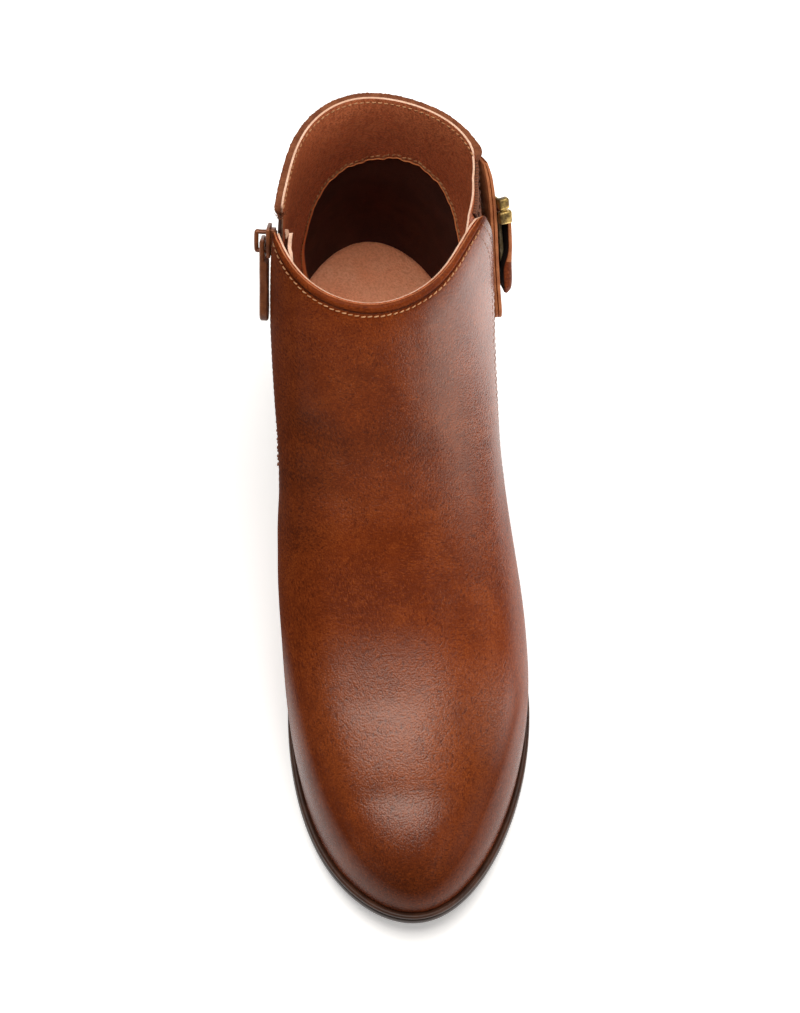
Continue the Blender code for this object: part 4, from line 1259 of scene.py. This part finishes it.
tuft = {"strands": 46, "length": (1.4, 3.4), "girth": (0.156, 0.052), "level": 0.978, "seed": 4,
        "steps": 6, "sides": 5, "around": (-0.009, 0.004), "off": (-2.6, -0.7)}


def makeTuft():
    # frayed end of the tape beside the rear edge of the zip
    draw = np.random.default_rng(tuft["seed"])
    steps, sides = tuft["steps"], tuft["sides"]
    t = np.linspace(0, 1, steps)[:, None]
    girth = np.linspace(*tuft["girth"], steps)
    parts = []
    for _ in range(tuft["strands"]):
        around = zipRear(tuft["level"]) + draw.uniform(*tuft["around"])
        root = skin(tuft["level"], around, draw.uniform(*tuft["off"]))
        lean = np.array([draw.uniform(-0.5, 0.5), draw.uniform(-0.9, 0.4), 1.0])
        curl = draw.uniform(-0.5, 0.5, 3)
        path = root + (lean * t + curl * t**2) * draw.uniform(*tuft["length"])
        strand = tubeGrid(path, sides, girth, upward=(1, 0.1, 0))
        parts.append((strand.reshape(-1, 3), loftFaces(steps, sides)))
    return meshPiece("tapeFray", *gather(parts), [darkEdge], sharp=1.2)


fray = makeTuft()


def makeTeeth():
    levels = np.linspace(zipShape["foot"] + 0.01, zipShape["chainTop"], 160)
    line, out = along(levels, zipMiddle(levels), 0.0)
    middle, way, normal = resample(line, out, zipLook["pitch"])
    wide, long, high = zipLook["tooth"]
    shape, faces = roundedBox((-wide / 2, -long / 2, 0), (wide / 2, long / 2, high),
                              zipLook["toothRound"], 2)
    parts = []
    for k, (m, a, n) in enumerate(zip(middle, way, normal)):
        side = np.cross(n, a)
        lean = zipLook["toothLean"] if k % 2 else -zipLook["toothLean"]
        spots = shape + (lean, 0, -zipLook["toothSink"])
        parts.append((m + spots @ np.stack([side, a, n]), faces))
    return meshPiece("zipTeeth", *gather(parts), [zipPaint], sharp=1.2)


teeth = makeTeeth()
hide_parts("zip_chain")

sliderLook = {
    "level": 0.91, "leanLevel": 0.72, "plate": (8.0, 11.0, 1.5), "lift": 1.28, "plateRound": 0.55,
    "taper": (0.72, 0.95, 1.0), "footHalf": 1.6, "footShort": 0.8, "sunk": 0.4,
    "bail": (8.0, 4.3), "bailHole": 2.9, "wire": (1.1, 0.8),
    "window": (1.15, -17.5, -12.0), "soften": 0.22, "bar": 1.7, "eye": (3.4, 4.8), "neck": 7.2,
    "body": 2.9, "length": 29.5, "tipFrom": -25.0, "width": 7.0,
    # the pull's width from the bar down: place along it, share of the full width
    "waist": [(0.85, 1.0), (-3.0, 1.0), (-6.5, 0.94), (-10.0, 0.98), (-14.0, 0.86), (-18.0, 0.84),
              (-22.0, 0.93), (-25.0, 0.98)],
}


def sliderAxes():
    def middle(level, off=0.0):
        return Vector(skin(level, zipMiddle(level), off).tolist())

    origin = middle(sliderLook["level"])
    off = middle(sliderLook["level"], 1.0) - origin
    up = (origin - middle(sliderLook["leanLevel"])).normalized()
    across = up.cross(off).normalized()
    return np.array([origin, across, up, across.cross(up)])


zipAxes = sliderAxes()


def onSlider(points):
    points = np.asarray(points, float)
    return zipAxes[0] + points @ zipAxes[1:]


def makeSlider():
    wide, long, thick = sliderLook["plate"]
    low, top = sliderLook["lift"], sliderLook["lift"] + thick
    plate, plateFaces = roundedBox((-wide / 2, -long / 2, low), (wide / 2, long / 2, top),
                                   sliderLook["plateRound"])
    plate[:, 0] *= np.interp(plate[:, 1], (-long / 2, 0, long / 2), sliderLook["taper"])
    a, b, sunk = sliderLook["footHalf"], long / 2 - sliderLook["footShort"], sliderLook["sunk"]
    foot, footFaces = roundedBox((-a, -b, -sunk), (a, b, low + sunk), 0.3, 2)
    bailLong, bailHigh = sliderLook["bail"][0] / 2, sliderLook["bail"][1]
    half = [(bailLong - 0.6, -0.6), (bailLong - 0.6, bailHigh - 1.6), (bailLong - 1.5, bailHigh - 0.7)]
    hoop = [(-b, c) for b, c in half] + half[::-1]
    hoop = np.array([(0.0, b, top + c) for b, c in hoop])
    fine = cubic(np.arange(6), hoop, np.linspace(0, 5, 36))
    side = np.broadcast_to((1.0, 0.0, 0.0), fine.shape)
    out = np.cross(side, unit(np.gradient(fine, axis=0)))
    arch = fine[:, None] + rounds(side, out, *sliderLook["wire"], 14)
    parts = [(plate, plateFaces), (foot, footFaces), (arch.reshape(-1, 3), loftFaces(36, 14))]
    points, faces = gather(parts)
    return meshPiece("zipSlider", onSlider(points), faces, [zipPaint], sharp=1.2)


slider = makeSlider()
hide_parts("zip_slider")


def pullOutline(shrink=0.0):
    half, low = sliderLook["width"] / 2, sliderLook["tipFrom"]
    stations = np.array(sliderLook["waist"])
    b = np.linspace(stations[0, 0] - shrink, low, 26)
    wide = cubic(-stations[:, 0], stations[:, 1:], -b)[:, 0] * half - shrink
    turn = np.linspace(0, np.pi, 13)[1:-1]
    tipReach = sliderLook["length"] + low - shrink
    right = [(w, v) for w, v in zip(wide, b)]
    tip = [(wide[-1] * np.cos(t), low - tipReach * np.sin(t)) for t in turn]
    left = [(-w, v) for w, v in zip(wide[::-1], b[::-1])]
    return np.array(right + tip + left)


def makePull():
    bar = sliderLook["bar"] / 2
    pivot = sliderLook["lift"] + sliderLook["plate"][2] + sliderLook["bailHole"] / 2
    outline = pullOutline()
    inset = pullOutline(0.5)
    neck = sliderLook["neck"]
    back = np.where(outline[:, 1] < -neck, bar - sliderLook["body"], -bar)
    rings = [(inset, np.full(len(outline), bar)), (outline, np.full(len(outline), bar - 0.4)),
             (outline, back + 0.4), (inset, back)]
    points = np.concatenate([np.column_stack([o, pivot + h]) for o, h in rings])
    faces = loftFaces(4, len(outline))
    mesh = rawMesh("pullBlank", points, faces)
    work = bmesh.new()
    work.from_mesh(mesh)
    bmesh.ops.recalc_face_normals(work, faces=work.faces)
    bmesh.ops.triangulate(work, faces=[f for f in work.faces if len(f.verts) > 4])
    work.to_mesh(mesh)
    work.free()
    blank = addObject("pullBlank", mesh)
    cutters = []
    eyeWide, eyeLong = sliderLook["eye"]
    for half, low, high in ((eyeWide / 2, -bar - eyeLong, -bar), sliderLook["window"]):
        shape = roundedBox((-half, low, pivot - 6), (half, high, pivot + 6), 0.8)
        cutter = addObject("cut", rawMesh("cut", *shape))
        step = blank.modifiers.new("cut", "BOOLEAN")
        step.operation, step.object, step.solver = "DIFFERENCE", cutter, "EXACT"
        cutters.append(cutter)
    soften = blank.modifiers.new("soften", "BEVEL")
    soften.width, soften.segments = sliderLook["soften"], 2
    soften.limit_method, soften.angle_limit = "ANGLE", 0.9
    bpy.context.view_layer.update()
    made = bpy.data.meshes.new_from_object(blank.evaluated_get(bpy.context.evaluated_depsgraph_get()))
    points = np.array([v.co for v in made.vertices])
    faces = [list(f.vertices) for f in made.polygons]
    for thing in [blank, *cutters]:
        bpy.data.objects.remove(thing)
    return meshPiece("zipPull", onSlider(points), faces, [zipPaint], body="zip_pull", sharp=0.6)


pull = makePull()
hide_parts("zip_pull")
print("zip ready")

# sole layers, each a rim: margin outside the feather edge, height over the outsole's underside, level
soleLook = {"count": 300, "spineToe": 28.0, "spineHeel": 26.0, "fills": (1.0, 0.75, 0.5, 0.25, 0.1)}


def soleLoop(margin, level=0.0):
    return skin(level, np.linspace(0, 1, soleLook["count"], endpoint=False), margin)[:, :2]


def soleSpine(loop):
    toe, heel = loop[:, 1].min(), loop[:, 1].max()
    outer, inner = bySide(loop)
    y = np.clip(loop[:, 1], toe + soleLook["spineToe"], heel - soleLook["spineHeel"])
    x = (np.interp(y, outer[:, 1], outer[:, 0]) + np.interp(y, inner[:, 1], inner[:, 0])) / 2
    return np.stack([x, y], 1)


def bySide(loop):
    # outer and inner half of a loop, from toe to heel
    halves = loop[loop[:, 0] > 0], loop[loop[:, 0] <= 0]
    return [half[half[:, 1].argsort()] for half in halves]


def soleLayer(name, rim, finishes, dome=0.0):
    loops, heights = [], []
    first = soleLoop(rim[0][0])
    final = soleLoop(rim[-1][0], *rim[-1][2:])
    fills = soleLook["fills"]
    for f in fills:
        loops.append(between(first, soleSpine(first), f))
        heights.append(rim[0][1])
    for margin, height, *level in rim:
        loops.append(soleLoop(margin, *level))
        heights.append(height)
    for f in fills[::-1]:
        loops.append(between(final, soleSpine(final), f))
        heights.append(rim[-1][1] + dome * np.sin(f * np.pi / 2))
    points = [np.column_stack([l, underside(l[:, 1]) + h]) for l, h in zip(loops, heights)]
    faces = loftFaces(len(points), soleLook["count"])[:-2]
    return meshPiece(name, np.concatenate(points), faces, finishes, tidy=True, sharp=0.9)


soleMargin, outThick = last["margin"], last["outsole"]
outsole = soleLayer("outsole", [
    (soleMargin - 0.9, 0.0), (soleMargin - 0.3, 0.12), (soleMargin, 0.6), (soleMargin + 0.1, 1.6),
    (soleMargin, 2.7), (soleMargin - 0.25, 3.2), (soleMargin - 0.6, outThick),
], [soleEdge])
weltLow = outThick + last["gap"]
welt = soleLayer("welt", [
    (soleMargin - 0.6, weltLow), (soleMargin - 0.2, weltLow + 0.15), (soleMargin, weltLow + 0.5),
    (soleMargin, weltLow + 1.3), (soleMargin - 0.25, weltLow + 1.75), (soleMargin - 0.7, weltLow + 2.0),
    (0.35, weltLow + 2.0), (0.15, weltLow + 1.8), (-0.4, weltLow + 1.8),
], [weltEdge])
insoleLow = last["sole"]
insoleMargin = -last["wall"] - 0.7
insole = soleLayer("insole", [
    (insoleMargin, insoleLow), (insoleMargin, insoleLow + 1.6),
    (insoleMargin + 0.2, insoleLow + 3.6, 0.04), (insoleMargin + 0.2, insoleLow + 5.0, 0.055),
    (insoleMargin - 0.5, insoleLow + 5.7, 0.06), (insoleMargin - 2.2, insoleLow + 6.1, 0.06),
], [footbed], dome=1.2)
soles = [(outsole, "outsole", "sole"), (welt, "welt", "welt"), (insole, "insole", "lining")]
for piece, node, slot in soles:
    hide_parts(node)

# heel block: how far it draws in at top and foot, its hollow breast, the top piece's line
heelLook = {"drawTop": 0.8, "drawFoot": 2.4, "height": 24.0, "hollow": 4.0, "least": 0.4,
            "topPiece": 5.0, "groove": 0.35, "stations": 44}


def makeHeel():
    loop = soleLoop(soleMargin)
    outerSide, innerSide = bySide(loop)
    start, end = last["breast"] + 1.0, loop[:, 1].max()
    ys = start + (end - 0.35 - start) * np.sin(np.linspace(0, np.pi / 2, heelLook["stations"]))
    outer = np.interp(ys, outerSide[:, 1], outerSide[:, 0])
    inner = np.interp(ys, innerSide[:, 1], innerSide[:, 0])
    middle = (outer + inner) / 2
    line, groove = heelLook["topPiece"], heelLook["groove"]
    # height and inset; the last ring meets the outsole
    levels = [(0.0, 0.5), (0.35, 0.08), (0.9, 0.0), (line - groove, 0.0), (line, groove),
              (line + groove, 0.0), (12.0, 0.0), (None, 0.0)]
    rings = []
    for height, inset in levels:
        share = 1.0 if height is None else height / heelLook["height"]
        draw = between(heelLook["drawFoot"], heelLook["drawTop"], share) + inset
        half = np.maximum((outer - inner) / 2 - draw, heelLook["least"])
        y = start + (ys - start) * (end - draw - start) / (end - start)
        spots = [(m + h, v) for m, h, v in zip(middle, half, y)]
        spots += [(m - h, v) for m, h, v in zip(middle, half, y)][::-1]
        for part in np.linspace(-1, 1, 21)[1:-1]:
            spots.append((middle[0] + half[0] * part, start + heelLook["hollow"] * (1 - part**2)))
        spots = np.array(spots)
        top = underside(spots[:, 1]) - last["gap"]
        rings.append(np.column_stack([spots, top if height is None else np.full(len(spots), height)]))
    count = len(rings[0])
    return meshPiece("heel", np.concatenate(rings), loftFaces(len(rings), count), [soleEdge], sharp=0.9)


heel = makeHeel()
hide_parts("heel")
print("sole ready")

# camera at the photograph's angle, turned to centre the boot
view = {
    "eye": (-68.0, -500.0, 1250.0), "down": 61.7, "yaw": 2.96, "roll": -0.5, "focal": 3830.0,
    "aim": (508.0, 507.0), "image": (800, 1013), "sensor": 36.0,
}


def makeCamera():
    down, yaw, roll = (np.radians(view[k]) for k in ("down", "yaw", "roll"))
    ahead = np.array([np.sin(yaw) * np.cos(down), np.cos(yaw) * np.cos(down), -np.sin(down)])
    level = np.array([np.cos(yaw), -np.sin(yaw), 0])
    up = np.cross(level, ahead)
    right = np.cos(roll) * level + np.sin(roll) * up
    up = -np.sin(roll) * level + np.cos(roll) * up
    du = view["aim"][0] - view["image"][0] / 2
    dv = view["aim"][1] - view["image"][1] / 2
    ahead = unit(ahead * view["focal"] + right * du - up * dv)
    right = unit(np.cross(ahead, up))
    up = np.cross(right, ahead)
    data = bpy.data.cameras.new("camera")
    data.sensor_width = view["sensor"]
    data.lens = view["focal"] * view["sensor"] / max(view["image"])
    camera = addObject("camera", data)
    turn = Matrix(np.column_stack([right, up, -ahead]).tolist()).to_4x4()
    camera.matrix_world = Matrix.Translation(Vector(toFrame(view["eye"]))) @ turn
    bpy.context.scene.camera = camera


makeCamera()

# floor and lights
stageLook = {
    "floor": (0.93, 0.93, 0.93), "paper": (0.94, 0.94, 0.94), "reach": 4.0, "world": 0.12,
    # glow of the paper from left to right: place across in metres, light; this is painted light, dim on
    # the left and a bright band right of the boot that stands in for a lamp on its outer side
    "glow": [(-0.20, 0.25), (-0.13, 0.22), (-0.06, 0.30), (0.02, 0.32), (0.06, 0.55), (0.22, 2.7),
             (0.75, 2.8), (0.95, 0.6)],
    "glowFrom": -0.25, "glowOver": 1.25, "brightest": 3.0,
}


def makeStage():
    first, over, brightest = (stageLook[k] for k in ("glowFrom", "glowOver", "brightest"))
    f = Finish("floorPaper", Roughness=0.9, Specular_IOR_Level=0.1, Emission_Strength=brightest)
    f.feed("Base Color", f.mix(f.noise(300, 2), stageLook["floor"], stageLook["paper"]))
    across = f.add("ShaderNodeSeparateXYZ", None, {"Vector": f.place}, "X")
    stops = [((x - first) / over, (g / brightest,) * 3) for x, g in stageLook["glow"]]
    sockets = {"Fac": across * (1 / over) - first / over}
    # the paper emits painted light, rising to a bright band right of the boot
    f.feed("Emission Color", f.add("ShaderNodeValToRGB", {"stops": stops}, sockets))
    r = stageLook["reach"]
    mesh = rawMesh("floor", [(-r, -r, 0), (r, -r, 0), (r, r, 0), (-r, r, 0)], [(0, 1, 2, 3)])
    mesh.materials.append(f.material)
    floor = addObject("floor", mesh)
    world = bpy.data.worlds.new("studio")
    world.use_nodes = True
    world.node_tree.nodes["Background"].inputs[0].default_value = (1.0, 1.0, 1.0, 1.0)
    world.node_tree.nodes["Background"].inputs[1].default_value = stageLook["world"]
    bpy.context.scene.world = world


# name: place, aim, width, height, power, colour
lamps = {
    "overhead": ((-0.05, 0.17, 1.05), (-0.05, 0.17, 0.0), 1.05, 1.00, 15.5, (1.0, 0.965, 0.92)),
    "rightFront": ((0.80, -0.50, 0.28), (0.02, -0.02, 0.09), 0.70, 0.60, 3.3, (1.0, 0.93, 0.85)),
}


def makeLamps():
    for name, (place, aim, wide, high, power, colour) in lamps.items():
        data = bpy.data.lights.new(name, "AREA")
        data.shape, data.size, data.size_y, data.energy = "RECTANGLE", wide, high, power
        data.color = colour
        lamp = addObject(name, data)
        lamp.location = place
        lamp.rotation_euler = (Vector(aim) - Vector(place)).to_track_quat("-Z", "Y").to_euler()


makeStage()
makeLamps()
bpy.context.scene.view_settings.view_transform = "Standard"
print("stage ready")
